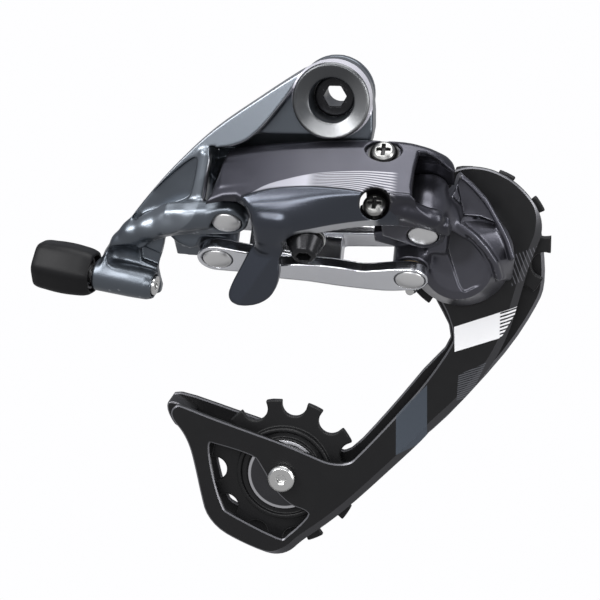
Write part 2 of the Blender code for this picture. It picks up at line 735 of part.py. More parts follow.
def cut_p_knuckle(knuckle):
    cavity = turned(
        "p_knuckle_cavity",
        [(0, -0.8), (4.9, -0.8), (4.9, 8.0), (6.0, 8.0), (6.0, 0.4), (9.4, 0.4), (9.4, 13.0),
         (12.2, 13.0), (12.2, 20.0), (0, 20.0)],
        cage_axis, steps=32,
    )
    cut(
        knuckle,
        cavity,
        rod("p_knuckle_outer_bore", LUG_BORE_R, 0, 30, front_axis, steps=20),
        rod("p_knuckle_lower_fork", 7.3, -10, 5.35, front_axis, steps=28),
        rod("p_knuckle_upper_fork", 9.8, 19.45, 40, front_axis, steps=28),
        rod("p_knuckle_inner_bore", LUG_BORE_R, -6, 9.5, front_axis, steps=20, centre=PIN_OFFSET),
        rod("p_knuckle_lower_ear_room", 6.1, -12, 0.1, front_axis, steps=24, centre=PIN_OFFSET),
        rod("p_knuckle_upper_ear_room", 5.75, 9.5, 14.6, front_axis, steps=24, centre=PIN_OFFSET),
    )


def cage_spring():
    coil("cage_spring", 7.7, 0.9, 1.6, 4.5, 2.1, cage_axis, SPRING_STEEL)


def cage_seal():
    tube("cage_seal", 9.9, 11.8, 13.3, 14.75, cage_axis, BLACK_PLASTIC, 28)


def cage_bush():
    tube("cage_bush", 3.5, 4.6, -0.4, 7.6, cage_axis, BRONZE, 20)


# ---------------------------------------------------------------- cage


OUTER_EDGE = [
    (31.0, -68.7), (34.3, -76.0), (34.0, -82.0), (25.9, -94.0), (16.3, -105.9), (5.2, -118.5),
    (1.0, -121.8), (-4.4, -121.9), (-19.3, -116.1), (-42.3, -108.4), (-52.4, -104.7),
    (-55.3, -106.9), (-55.0, -109.6), (-51.4, -114.0), (-49.0, -119.5), (-46.0, -134.3),
    (-43.6, -142.0), (-38.5, -147.0), (-25.2, -152.7), (-20.4, -153.2), (-16.0, -150.8),
    (-4.9, -142.0), (15.0, -123.2), (28.4, -108.8), (40.0, -97.0), (48.6, -83.6),
    (53.6, -70.0), (58.2, -52.9), (61.0, -45.4), (60.6, -40.6), (57.6, -34.6), (50.9, -28.4),
    (43.0, -25.4), (36.0, -25.6), (30.0, -28.5), (25.5, -34.0), (23.0, -42.0), (23.0, -52.0),
    (26.0, -61.0),
]
INNER_EDGE = [
    (28.0, -70.0), (32.7, -81.8), (24.2, -92.8), (13.1, -106.9), (1.3, -120.2), (-5.0, -119.5),
    (-19.0, -114.5), (-36.5, -108.8), (-54.0, -103.6), (-57.5, -106.5), (-54.5, -112.0),
    (-50.0, -120.0), (-45.5, -137.0), (-40.0, -146.0), (-24.0, -153.5), (-18.0, -152.5),
    (-2.0, -140.0), (18.0, -121.0), (32.0, -108.0), (49.9, -86.5), (59.9, -70.9), (62.3, -63.0),
    (61.5, -50.0), (60.0, -40.0), (54.5, -31.5), (46.0, -26.5), (37.0, -25.8), (28.5, -29.5),
    (22.5, -38.0), (21.0, -50.0), (23.5, -61.0),
]
WINDOW = [
    (-43.2, -117.4), (-40.5, -117.2), (-29.0, -120.6), (-26.6, -124.2), (-22.0, -131.4),
    (-17.0, -136.2), (-11.8, -138.2), (-12.2, -140.6), (-18.6, -147.2), (-21.4, -147.4),
    (-35.9, -140.6), (-39.1, -137.5), (-42.0, -127.4),
]


def cage_plates():
    low, high = OUTER_PLATE
    outer = prism("outer_cage_plate", about(CAGE_PIVOT, OUTER_EDGE), low, high, cage_axis, CAGE_BLACK)
    tail = about(CAGE_PIVOT, [TENSION_CENTRE])[0]
    cut(
        outer,
        rod("outer_cage_plate_hub_hole", 8.9, low - 2, high + 2, cage_axis, steps=32),
        prism("outer_cage_plate_window", about(CAGE_PIVOT, WINDOW), low - 2, high + 2, cage_axis),
        rod("outer_cage_plate_bolt_hole", 2.8, low - 2, high + 2, cage_axis, steps=16, centre=tail),
        rod("outer_cage_plate_pin_hole", 1.7, low - 2, high + 2, cage_axis, steps=14,
            centre=STOP_PIN_AT),
    )
    low, high = INNER_PLATE
    inner = prism("inner_cage_plate", about(CAGE_PIVOT, INNER_EDGE), low, high, cage_axis, CAGE_BLACK)
    guide = about(CAGE_PIVOT, [GUIDE_CENTRE])[0]
    strut = about(CAGE_PIVOT, [(-57.0, -104.6), (-49.0, -107.6), (-49.0, -109.4), (-53.5, -112.6)])
    join(inner, prism("inner_cage_plate_strut", strut, OUTER_PLATE[1] + GAP, high - 0.4, cage_axis))
    cut(
        inner,
        prism("inner_cage_plate_window", about(CAGE_PIVOT, WINDOW), low - 2, high + 2, cage_axis),
        rod("inner_cage_plate_bolt_hole", 2.8, low - 2, high + 2, cage_axis, steps=16, centre=tail),
        rod("inner_cage_plate_guide_hole", 2.8, low - 2, high + 2, cage_axis, steps=16, centre=guide),
    )


STOP_PIN_AT = (-15.4, 11.6)


def cage_stop_pin():
    rod("cage_stop_pin", 1.4, 10.0, OUTER_PLATE[1] + 0.6, cage_axis, BRIGHT, 14, STOP_PIN_AT)


def cage_axle():
    """The pivot the cage hangs on: a shaft in the P-knuckle and a hub in the outer plate."""
    profile = [(0, -0.3), (2.9, -0.3), (3.2, 0.1), (3.2, 15.0), (8.5, 15.0), (8.5, 17.2), (0, 17.2)]
    axle = turned("cage_axle", profile, cage_axis, BLACK_STEEL, 28)
    guide = about(CAGE_PIVOT, [GUIDE_CENTRE])[0]
    cut(axle, rod("cage_axle_thread", 2.8, 15.4, 20, cage_axis, steps=16, centre=guide))


# ---------------------------------------------------------------- pulleys


def pulley_outline():
    """Flat-topped teeth round the pitch circle, with round roller seats between them."""
    points = []
    half_tip = math.radians(6.6)
    for i in range(TEETH):
        middle = 2 * math.pi / TEETH * i
        for turn in (middle - half_tip, middle + half_tip):
            points.append((TOOTH_TIP_R * math.cos(turn), TOOTH_TIP_R * math.sin(turn)))
        gap = middle + math.pi / TEETH
        centre = (SEAT_CENTRE_R * math.cos(gap), SEAT_CENTRE_R * math.sin(gap))
        heading = math.degrees(gap)
        points += arc(centre, ROLLER_SEAT_R, heading + 268, heading + 92, 6)
    return points


def pulley(name, axis):
    wheel = prism(name, pulley_outline(), -1.1, 1.1, axis, BLACK_PLASTIC)
    join(wheel, rod(name + "_drum", 15.2, -2.9, 2.9, axis, steps=36))
    cut(wheel, rod(name + "_bore", 5.0, -5, 5, axis, steps=24))
    for sign, face in ((-1, "outer"), (1, "inner")):
        low, high = sorted((sign * 2.1, sign * 5.0))
        cut(wheel, tube(f"{name}_{face}_groove", 11.9, 13.8, low, high, axis, steps=28))
        cut(wheel, rod(f"{name}_{face}_recess", 9.5, low, high, axis, steps=28))


def pulley_fittings(name, axis):
    """Bush in the wheel's bore and the two pressed dust caps that flank it."""
    tube(name + "_bush", 2.85, 4.65, -4.0, 4.0, axis, BRONZE, 20)
    for sign, face in ((-1, "outer"), (1, "inner")):
        low, high = sorted((sign * 3.25, sign * 3.9))
        tube(f"{name}_{face}_cap", 5.0, 11.4, low, high, axis, BRIGHT, 28)


def pulley_bolts():
    """The lower wheel's bolt enters from outboard, the upper one's from inboard."""
    socket_screw("tension_pulley_bolt", 4.3, -9.4, 2.5, 5.8, tension_axis, BRIGHT, 3.0, 24)
    socket_screw("guide_pulley_bolt", 4.3, 9.2, 2.5, -5.8, guide_axis, BRIGHT, 3.0, 24)


# ---------------------------------------------------------------- build


hanger_bolt()
hanger_bushing()
retaining_ring()
b_stop_plate()
b_knuckle()
b_tension_screw()
barrel_adjuster()
adjuster_stem()
adjuster_spring()
pins_and_bushes()
return_spring()
outer_link()
limit_screws()
cable_clamp()
inner_link()
p_knuckle()
cage_spring()
cage_seal()
cage_bush()
cage_plates()
cage_stop_pin()
cage_axle()
pulley("guide_pulley", guide_axis)
pulley("tension_pulley", tension_axis)
pulley_fittings("guide_pulley", guide_axis)
pulley_fittings("tension_pulley", tension_axis)
pulley_bolts()
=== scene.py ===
import itertools
import json
import math

import bmesh
import bpy
import numpy as np
from mathutils import Matrix, Vector
from mathutils.geometry import delaunay_2d_cdt


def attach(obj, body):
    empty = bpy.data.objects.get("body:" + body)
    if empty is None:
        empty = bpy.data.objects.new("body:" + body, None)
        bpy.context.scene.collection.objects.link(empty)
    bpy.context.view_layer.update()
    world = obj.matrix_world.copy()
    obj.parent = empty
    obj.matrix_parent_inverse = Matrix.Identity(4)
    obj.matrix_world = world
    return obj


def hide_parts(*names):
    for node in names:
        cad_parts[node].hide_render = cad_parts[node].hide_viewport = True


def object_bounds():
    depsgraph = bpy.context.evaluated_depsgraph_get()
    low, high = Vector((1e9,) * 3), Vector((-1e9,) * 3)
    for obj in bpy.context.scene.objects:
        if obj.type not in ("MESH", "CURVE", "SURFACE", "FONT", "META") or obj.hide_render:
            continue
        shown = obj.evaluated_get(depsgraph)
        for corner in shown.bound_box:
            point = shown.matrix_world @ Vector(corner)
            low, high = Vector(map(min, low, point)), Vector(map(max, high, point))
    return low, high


# Looks of a rear bicycle derailleur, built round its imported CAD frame.
# Shapes are signed distance fields in millimetres, meshed on a fine grid; meshes are in metres.

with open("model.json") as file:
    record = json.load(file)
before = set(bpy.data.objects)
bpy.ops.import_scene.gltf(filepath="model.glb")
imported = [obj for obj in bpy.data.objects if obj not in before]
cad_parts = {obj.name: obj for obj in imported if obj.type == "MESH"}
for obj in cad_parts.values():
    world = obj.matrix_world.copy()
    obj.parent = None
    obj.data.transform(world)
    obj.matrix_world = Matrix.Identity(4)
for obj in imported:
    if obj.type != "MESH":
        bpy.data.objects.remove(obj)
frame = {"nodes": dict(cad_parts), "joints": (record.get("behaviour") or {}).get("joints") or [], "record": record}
cad_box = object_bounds()

MM = 0.001
joints = {j["name"]: j for j in frame["joints"]}


# ---------------------------------------------------------------- local axes from the record


class Axes:
    """A local frame: an origin in millimetres and three unit directions."""

    def __init__(self, origin, u, v, w):
        self.origin = np.array(origin, float)
        self.turn = np.array((u, v, w), float)

    def out(self, points):
        return self.origin + np.asarray(points, float) @ self.turn

    def into(self, points):
        return (np.asarray(points, float) - self.origin) @ self.turn.T


def joint_at(name):
    return np.array(joints[name]["pos_m"], float) / MM


def joint_axis(name):
    axis = np.array(joints[name]["axis"], float)
    return axis / np.linalg.norm(axis)


X, Y, Z = np.eye(3)
ALONG = joint_axis("outer_link_swing")        # along the parallelogram's pins
ACROSS = np.cross(ALONG, X)
HANGER = joint_at("b_pivot")
SIDE = Axes(HANGER, X, Z, Y)                  # as seen from outboard: X, Z, then depth Y
LINK = Axes(joint_at("outer_link_swing"), X, ACROSS, ALONG)
INNER = Axes(joint_at("inner_link_swing"), X, ACROSS, ALONG)
FRONT = Axes(joint_at("p_knuckle_swing"), X, ACROSS, ALONG)
LINK_VECTOR = LINK.into(FRONT.origin)[:2]
PIN_OFFSET = LINK.into(INNER.origin)[:2]
CAGE_AT = joint_at("cage_pivot") * (1, 0, 1) + HANGER * (0, 1, 0)
CAGE = Axes(CAGE_AT, X, Z, Y)
GUIDE = Axes(joint_at("guide_pulley_spin"), X, Z, Y)
TENSION = Axes(joint_at("tension_pulley_spin"), X, Z, Y)
KNOB_LINE = joint_axis("adjuster_turn")
KNOB_SIDE = np.cross(KNOB_LINE, Y) / np.linalg.norm(np.cross(KNOB_LINE, Y))
KNOB = Axes(joint_at("adjuster_turn"), KNOB_SIDE, np.cross(KNOB_LINE, KNOB_SIDE), KNOB_LINE)
LOW_SCREW = Axes(joint_at("low_screw_turn"), X, -ALONG, ACROSS)
HIGH_SCREW = Axes(joint_at("high_screw_turn"), X, -ALONG, ACROSS)
B_SCREW = Axes(joint_at("b_screw_turn"), Y, Z, X)
CAGE_XZ = SIDE.into(CAGE_AT)[:2]


# ---------------------------------------------------------------- outlines


def arc(centre, radius, start, end, steps):
    turns = np.radians(np.linspace(start, end, steps + 1))
    return [(centre[0] + radius * math.cos(t), centre[1] + radius * math.sin(t)) for t in turns]


def flow(points, steps=4, closed=False):
    """A smooth curve through the points, as a Catmull-Rom spline."""
    points = [np.array(p, float) for p in points]
    count = len(points)
    ends = [points[-1]] + points + points[:2] if closed else [points[0]] + points + [points[-1]]
    spans = count if closed else count - 1
    curve = []
    for i in range(spans):
        a, b, c, d = ends[i : i + 4]
        for step in range(steps):
            t = step / steps
            curve.append(0.5 * (2 * b + (c - a) * t + (2 * a - 5 * b + 4 * c - d) * t**2
                                + (3 * b - a - 3 * c + d) * t**3))
    if not closed:
        curve.append(points[-1])
    return [tuple(p) for p in curve]


def loop(points, steps=4):
    return flow(points, steps, closed=True)


def capsule(a, b, ra, rb, steps=14):
    """The outline round two circles and their outer tangents."""
    heading = math.degrees(math.atan2(b[1] - a[1], b[0] - a[0]))
    lean = math.degrees(math.asin((rb - ra) / math.hypot(b[0] - a[0], b[1] - a[1])))
    near = arc(a, ra, heading + 90 + lean, heading + 270 - lean, steps)
    return near + arc(b, rb, heading - 90 - lean, heading + 90 + lean, steps)


def hexagon(flats, turn=0.0):
    return arc((0, 0), flats / math.sqrt(3), turn, turn + 300, 5)


def eased(x, knots):
    """A smooth value along x through (x, value) knots."""
    xs, ys = np.array(knots, float).T
    slopes = np.gradient(ys, xs)
    x = np.clip(x, xs[0], xs[-1])
    i = np.clip(np.searchsorted(xs, x) - 1, 0, len(xs) - 2)
    span = xs[i + 1] - xs[i]
    t = (x - xs[i]) / span
    near = (1 + 2 * t) * (1 - t) ** 2 * ys[i] + t * (1 - t) ** 2 * span * slopes[i]
    far = t**2 * (3 - 2 * t) * ys[i + 1] + t**2 * (t - 1) * span * slopes[i + 1]
    return (near + far).astype(np.float32)


def ramp(value, low, high):
    t = np.clip((value - low) / (high - low), 0, 1)
    return t * t * (3 - 2 * t)


# ---------------------------------------------------------------- distance fields


def soft_min(a, b, blend):
    if blend <= 0:
        return np.minimum(a, b)
    near = np.maximum(blend - np.abs(a - b), 0) / blend
    return np.minimum(a, b) - near * near * blend / 4


def soft_max(a, b, blend):
    return -soft_min(-a, -b, blend)


def polygon_distance(outline, u, v):
    best, inside = np.float32(1e9), False
    for (x0, y0), (x1, y1) in zip(outline, outline[1:] + outline[:1]):
        ex, ey = x1 - x0, y1 - y0
        length = ex * ex + ey * ey
        if length < 1e-9:
            continue
        px, py = u - x0, v - y0
        t = np.clip((px * ex + py * ey) / length, 0, 1)
        best = np.minimum(best, (px - t * ex) ** 2 + (py - t * ey) ** 2)
        if ey != 0:
            inside = inside ^ (((v < y1) != (v < y0)) & (px < py * ex / ey))
    return np.where(inside, -np.sqrt(best), np.sqrt(best)).astype(np.float32)


class Shape:
    """A distance function of three local coordinates, and the local box it fills."""

    def __init__(self, axes, low, high, distance):
        self.axes, self.low, self.high, self.distance = axes, low, high, distance


def rounded(flat, deep, rounding):
    flat, deep = flat + rounding, deep + rounding
    outside = np.hypot(np.maximum(flat, 0), np.maximum(deep, 0))
    return outside + np.minimum(np.maximum(flat, deep), 0) - rounding


def prism(axes, outline, low, high, rounding=0.0):
    """An outline in the axes' first two directions, from low to high along the third."""
    def distance(u, v, w):
        deep = np.abs(w - (low + high) / 2) - (high - low) / 2
        return rounded(polygon_distance(outline, u, v), deep, rounding)

    us, vs = zip(*outline)
    return Shape(axes, (min(us), min(vs), low), (max(us), max(vs), high), distance)


def disc(axes, radius, low, high, centre=(0, 0), rounding=0.0):
    def distance(u, v, w):
        flat = np.hypot(u - centre[0], v - centre[1]) - radius
        return rounded(flat, np.abs(w - (low + high) / 2) - (high - low) / 2, rounding)

    return Shape(axes, (centre[0] - radius, centre[1] - radius, low),
                 (centre[0] + radius, centre[1] + radius, high), distance)


def spun(axes, profile, centre=(0, 0)):
    """A closed profile of radius and height, turned round the third direction."""
    profile = [(-20.0 if r == 0 else r, h) for r, h in profile]

    def distance(u, v, w):
        return polygon_distance(profile, np.hypot(u - centre[0], v - centre[1]), w)

    radius, heights = max(r for r, h in profile), [h for r, h in profile]
    return Shape(axes, (centre[0] - radius, centre[1] - radius, min(heights)),
                 (centre[0] + radius, centre[1] + radius, max(heights)), distance)


def bar(axes, a, b, ra, rb):
    """A round bar between two points, tapering from one radius to the other."""
    a, b = np.array(a, float), np.array(b, float)
    line = b - a

    def distance(u, v, w):
        pu, pv, pw = u - a[0], v - a[1], w - a[2]
        t = np.clip((pu * line[0] + pv * line[1] + pw * line[2]) / (line @ line), 0, 1)
        gap = (pu - t * line[0]) ** 2 + (pv - t * line[1]) ** 2 + (pw - t * line[2]) ** 2
        return np.sqrt(gap) - (ra + (rb - ra) * t)

    widest = max(ra, rb)
    return Shape(axes, np.minimum(a, b) - widest, np.maximum(a, b) + widest, distance)


def bead(axes, centre, radii, turn=0.0):
    """An ellipsoid, turned in the plane of the first two directions."""
    cos, sin = math.cos(math.radians(turn)), math.sin(math.radians(turn))

    def distance(u, v, w):
        du, dv = u - centre[0], v - centre[1]
        a, b, c = (du * cos + dv * sin) / radii[0], (dv * cos - du * sin) / radii[1], (w - centre[2]) / radii[2]
        reach = np.sqrt(a * a + b * b + c * c)
        steep = np.sqrt((a / radii[0]) ** 2 + (b / radii[1]) ** 2 + (c / radii[2]) ** 2) + 1e-6
        return reach * (reach - 1) / steep

    wide = max(radii[:2])
    low = (centre[0] - wide, centre[1] - wide, centre[2] - radii[2])
    return Shape(axes, low, (centre[0] + wide, centre[1] + wide, centre[2] + radii[2]), distance)


def sheet(axes, edge_a, edge_b, radius, count=14):
    """Bars that join two edge curves, close enough to make one smooth skin."""
    def along(points):
        points = np.array(points, float)
        steps = np.concatenate([[0], np.cumsum(np.linalg.norm(np.diff(points, axis=0), axis=1))])
        at = np.linspace(0, steps[-1], count)
        return np.column_stack([np.interp(at, steps, points[:, i]) for i in range(3)])

    return [bar(axes, a, b, radius, radius) for a, b in zip(along(edge_a), along(edge_b))]


class Field:
    """A solid as signed distances on a grid, negative inside."""

    def __init__(self, axes, low, high, cell):
        self.axes, self.cell, self.low = axes, cell, np.array(low, float)
        counts = np.ceil((np.array(high, float) - self.low) / cell).astype(int) + 1
        self.value = np.full(counts, 40.0, np.float32)

    def copy(self):
        """The same solid on the same grid, to compare with after more cuts."""
        twin = Field(self.axes, self.low, self.low + (np.array(self.value.shape) - 1) * self.cell, self.cell)
        twin.value = self.value.copy()
        return twin

    def window(self, shape, margin):
        corners = np.array(list(itertools.product(*zip(shape.low, shape.high))))
        mine = (self.axes.into(shape.axes.out(corners)) - self.low) / self.cell
        first = np.clip(np.floor(mine.min(0) - margin / self.cell), 0, self.value.shape)
        last = np.clip(np.ceil(mine.max(0) + margin / self.cell) + 1, 0, self.value.shape)
        return tuple(slice(int(a), int(b)) for a, b in zip(first, last))

    def grid(self, window, axes):
        base = axes.into(self.axes.out(self.low))
        turn = axes.turn @ self.axes.turn.T
        result = []
        for i in range(3):
            value = np.full((1, 1, 1), base[i], np.float32)
            for j in range(3):
                if abs(turn[i, j]) > 1e-6:
                    shape = [1, 1, 1]
                    shape[j] = -1
                    steps = np.arange(window[j].start, window[j].stop, dtype=np.float32)
                    value = value + (steps * np.float32(self.cell * turn[i, j])).reshape(shape)
            result.append(value)
        return result

    def apply(self, shape, blend, mix):
        window = self.window(shape, blend + 4 * self.cell)
        if all(s.stop > s.start for s in window):
            distance = shape.distance(*self.grid(window, shape.axes))
            self.value[window] = mix(self.value[window], distance, blend)
        return self

    def add(self, shape, blend=0.0):
        return self.apply(shape, blend, soft_min)

    def cut(self, shape, blend=0.0):
        return self.apply(shape, blend, lambda a, b, k: soft_max(a, -b, k))

    def surface(self):
        """Points in world millimetres, quads and normals, by surface nets."""
        value = self.value
        for axis in range(3):
            for end in (0, -1):
                np.moveaxis(value, axis, 0)[end] = 5.0
        inside = value < 0
        shape = np.array(value.shape) - 1
        offsets = list(itertools.product((0, 1), repeat=3))
        part = lambda array, o: array[tuple(slice(k, k + n) for k, n in zip(o, shape))]
        count = sum(part(inside, o).astype(np.uint8) for o in offsets)
        active = (count > 0) & (count < 8)
        cells = np.argwhere(active)
        index = np.full(active.shape, -1, np.int64)
        index[active] = np.arange(len(cells))
        corner = {o: value[tuple((cells + o).T)] for o in offsets}
        total, hits = np.zeros((len(cells), 3)), np.zeros(len(cells))
        for a, b in itertools.combinations(offsets, 2):
            if sum(abs(i - j) for i, j in zip(a, b)) != 1:
                continue
            crossing = (corner[a] < 0) != (corner[b] < 0)
            gap = np.where(crossing, corner[a] - corner[b], 1.0)
            t = np.where(crossing, corner[a] / gap, 0.0)
            spot = np.array(a) + t[:, None] * (np.array(b) - np.array(a))
            total += np.where(crossing[:, None], spot, 0.0)
            hits += crossing
        points = cells + total / hits[:, None]
        quads = []
        for axis in range(3):
            one, two = [k for k in range(3) if k != axis]
            near = np.moveaxis(inside, (axis, one, two), (0, 1, 2))
            around = np.moveaxis(index, (axis, one, two), (0, 1, 2))
            change = near[:-1] != near[1:]
            change[:, 0], change[:, :, 0] = False, False
            change[:, -1], change[:, :, -1] = False, False
            at = np.argwhere(change)
            i, j, k = at.T
            ring = [around[i, j - 1, k - 1], around[i, j, k - 1], around[i, j, k], around[i, j - 1, k]]
            quad = np.stack(ring, axis=1)
            leaving = near[:-1][change]
            flip = leaving if axis != 1 else ~leaving
            quads.append(np.where(flip[:, None], quad, quad[:, ::-1]))
        quads = largest_part(np.concatenate(quads), len(points))
        used, quads = np.unique(quads, return_inverse=True)
        points, quads = points[used], quads.reshape(-1, 4)
        points = relaxed(points, quads, 2)
        normals = self.slopes(points)
        world = self.axes.out(self.low + points * self.cell)
        if np.linalg.det(self.axes.turn) < 0:
            quads = quads[:, ::-1]
        return world, quads, normals @ self.axes.turn

    def slopes(self, points):
        """Unit gradients at grid places, by trilinear sampling."""
        base = np.clip(np.floor(points).astype(int), 1, np.array(self.value.shape) - 3)
        part = points - base
        slope = np.zeros((len(points), 3))
        for o in itertools.product((0, 1), repeat=3):
            weight = np.prod([part[:, i] if o[i] else 1 - part[:, i] for i in range(3)], axis=0)
            for axis in range(3):
                ahead, behind = base + o, base + o
                ahead[:, axis] += 1
                behind[:, axis] -= 1
                change = self.value[tuple(ahead.T)] - self.value[tuple(behind.T)]
                slope[:, axis] += weight * np.clip(change, -4 * self.cell, 4 * self.cell)
        return slope / np.maximum(np.linalg.norm(slope, axis=1), 1e-9)[:, None]


def largest_part(quads, count):
    """The faces of the biggest connected surface, without crumbs or sealed hollows."""
    label = np.arange(count)
    while True:
        lowest = label[quads].min(axis=1)
        new = label.copy()
        for i in range(4):
            np.minimum.at(new, quads[:, i], lowest)
        new = new[new]
        if (new == label).all():
            break
        label = new
    face_label = label[quads[:, 0]]
    return quads[face_label == np.bincount(face_label).argmax()]


def relaxed(points, quads, rounds):
    """Points eased towards the middle of their neighbours."""
    a, b = quads.ravel(), np.roll(quads, -1, axis=1).ravel()
    weight = np.bincount(a, minlength=len(points)) + np.bincount(b, minlength=len(points))
    for _ in range(rounds):
        total = np.empty_like(points)
        for axis in range(3):
            total[:, axis] = np.bincount(a, points[b, axis], len(points))
            total[:, axis] += np.bincount(b, points[a, axis], len(points))
        points = points * 0.5 + total / weight[:, None] * 0.5
    return points


# ---------------------------------------------------------------- pieces


def make_piece(name, body, slot, material, points, faces, normals=None):
    mesh = bpy.data.meshes.new(name)
    mesh.from_pydata((np.asarray(points) * MM).tolist(), [], np.asarray(faces).tolist()
                     if isinstance(faces, np.ndarray) else faces)
    mesh.update()
    mesh.shade_smooth()
    if normals is not None:
        mesh.normals_split_custom_set_from_vertices(normals.tolist())
    mesh.materials.append(material)
    piece = bpy.data.objects.new(name, mesh)
    bpy.context.scene.collection.objects.link(piece)
    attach(piece, body)
    return piece


def piece_from(field, node, body, slot, material):
    """A fine mesh of a field, standing for the CAD node of the same name."""
    piece = make_piece(node + "_fine", body, slot, material, *field.surface())
    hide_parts(node)
    return piece


COARSE = 1.0


def turned_mesh(axes, profile, steps, centre=(0, 0)):
    """Points and quads of a closed profile turned round the axes' third direction."""
    rings, faces, count = [], [], len(profile)
    for turn in np.linspace(0, 2 * math.pi, steps, endpoint=False):
        cos, sin = math.cos(turn), math.sin(turn)
        rings += [(centre[0] + r * cos, centre[1] + r * sin, h) for r, h in profile]
    for i in range(steps):
        for j in range(count):
            k, after = (j + 1) % count, (i + 1) % steps
            faces.append((i * count + j, after * count + j, after * count + k, i * count + k))
    return axes.out(rings), faces


def softened(profile, size=0.15, angle=20.0):
    """The closed profile with each corner replaced by a small two-step bevel."""
    result = []
    for i, here in enumerate(profile):
        here = np.array(here, float)
        before = np.array(profile[i - 1], float) - here
        after = np.array(profile[(i + 1) % len(profile)], float) - here
        la, lb = np.linalg.norm(before), np.linalg.norm(after)
        turn = math.degrees(math.acos(np.clip(-(before @ after) / la / lb, -1, 1)))
        if turn < angle or here[0] < 0.05:
            result.append(tuple(here))
            continue
        cut = min(size, la / 3, lb / 3)
        a, b = here + before / la * cut, here + after / lb * cut
        result += [tuple(a), tuple((a + b) / 4 + here / 2), tuple(b)]
    return result


def turned_piece(node, axes, profile, body, slot, material, centre=(0, 0), steps=64):
    soft = [(max(r, 0.01), h) for r, h in softened(profile)]
    points, faces = turned_mesh(axes, soft, steps, centre)
    if np.linalg.det(axes.turn) < 0:
        faces = [f[::-1] for f in faces]
    piece = make_piece(node + "_fine", body, slot, material, points, faces)
    outward(piece)
    piece.data.set_sharp_from_angle(angle=math.radians(35))
    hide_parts(node)
    return piece


def outward(piece):
    """Turns the faces of a closed mesh outwards."""
    bm = bmesh.new()
    bm.from_mesh(piece.data)
    bmesh.ops.remove_doubles(bm, verts=bm.verts, dist=2e-6)
    bmesh.ops.recalc_face_normals(bm, faces=bm.faces)
    bm.to_mesh(piece.data)
    bm.free()


def coil_piece(node, axes, radius, wire, low, turns, pitch, body, slot, material, centre=(0, 0)):
    """Spring wire wound round the third direction, with closed ends."""
    steps, round_steps = int(turns * 40), 12
    points, faces = [], []
    for i in range(steps + 1):
        turn = 2 * math.pi * turns * i / steps
        out = np.array((math.cos(turn), math.sin(turn), 0))
        middle = np.array((centre[0], centre[1], low + pitch * turns * i / steps)) + out * radius
        for j in range(round_steps):
            lean = 2 * math.pi * j / round_steps
            points.append(middle + wire * (math.cos(lean) * out + math.sin(lean) * Z))
    for i in range(steps):
        for j in range(round_steps):
            a, b = i * round_steps + j, i * round_steps + (j + 1) % round_steps
            faces.append((a, b, b + round_steps, a + round_steps))
    faces.append(tuple(range(round_steps)))
    faces.append(tuple(range(steps * round_steps, (steps + 1) * round_steps)))
    piece = make_piece(node + "_fine", body, slot, material, axes.out(points), faces)
    outward(piece)
    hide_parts(node)
    return piece


# ---------------------------------------------------------------- materials


class Number:
    """A value in a node tree. Arithmetic on it adds Math nodes."""

    def __init__(self, tree, socket):
        self.tree, self.socket = tree, socket

    def math(self, kind, *others):
        node = self.tree.nodes.new("ShaderNodeMath")
        node.operation = kind
        for value, entry in zip((self,) + others, node.inputs):
            if isinstance(value, Number):
                self.tree.links.new(value.socket, entry)
            else:
                entry.default_value = value
        return Number(self.tree, node.outputs[0])

    def __add__(self, other):
        return self.math("ADD", other)

    def __sub__(self, other):
        return self.math("SUBTRACT", other)

    def __mul__(self, other):
        return self.math("MULTIPLY", other)

    def inverse(self):
        return self * -1.0 + 1.0

    def step(self, low, high):
        """0 below low, 1 above high, smooth between them."""
        node = self.tree.nodes.new("ShaderNodeMapRange")
        node.interpolation_type = "SMOOTHSTEP"
        self.tree.links.new(self.socket, node.inputs["Value"])
        node.inputs["From Min"].default_value = low
        node.inputs["From Max"].default_value = high
        return Number(self.tree, node.outputs["Result"])


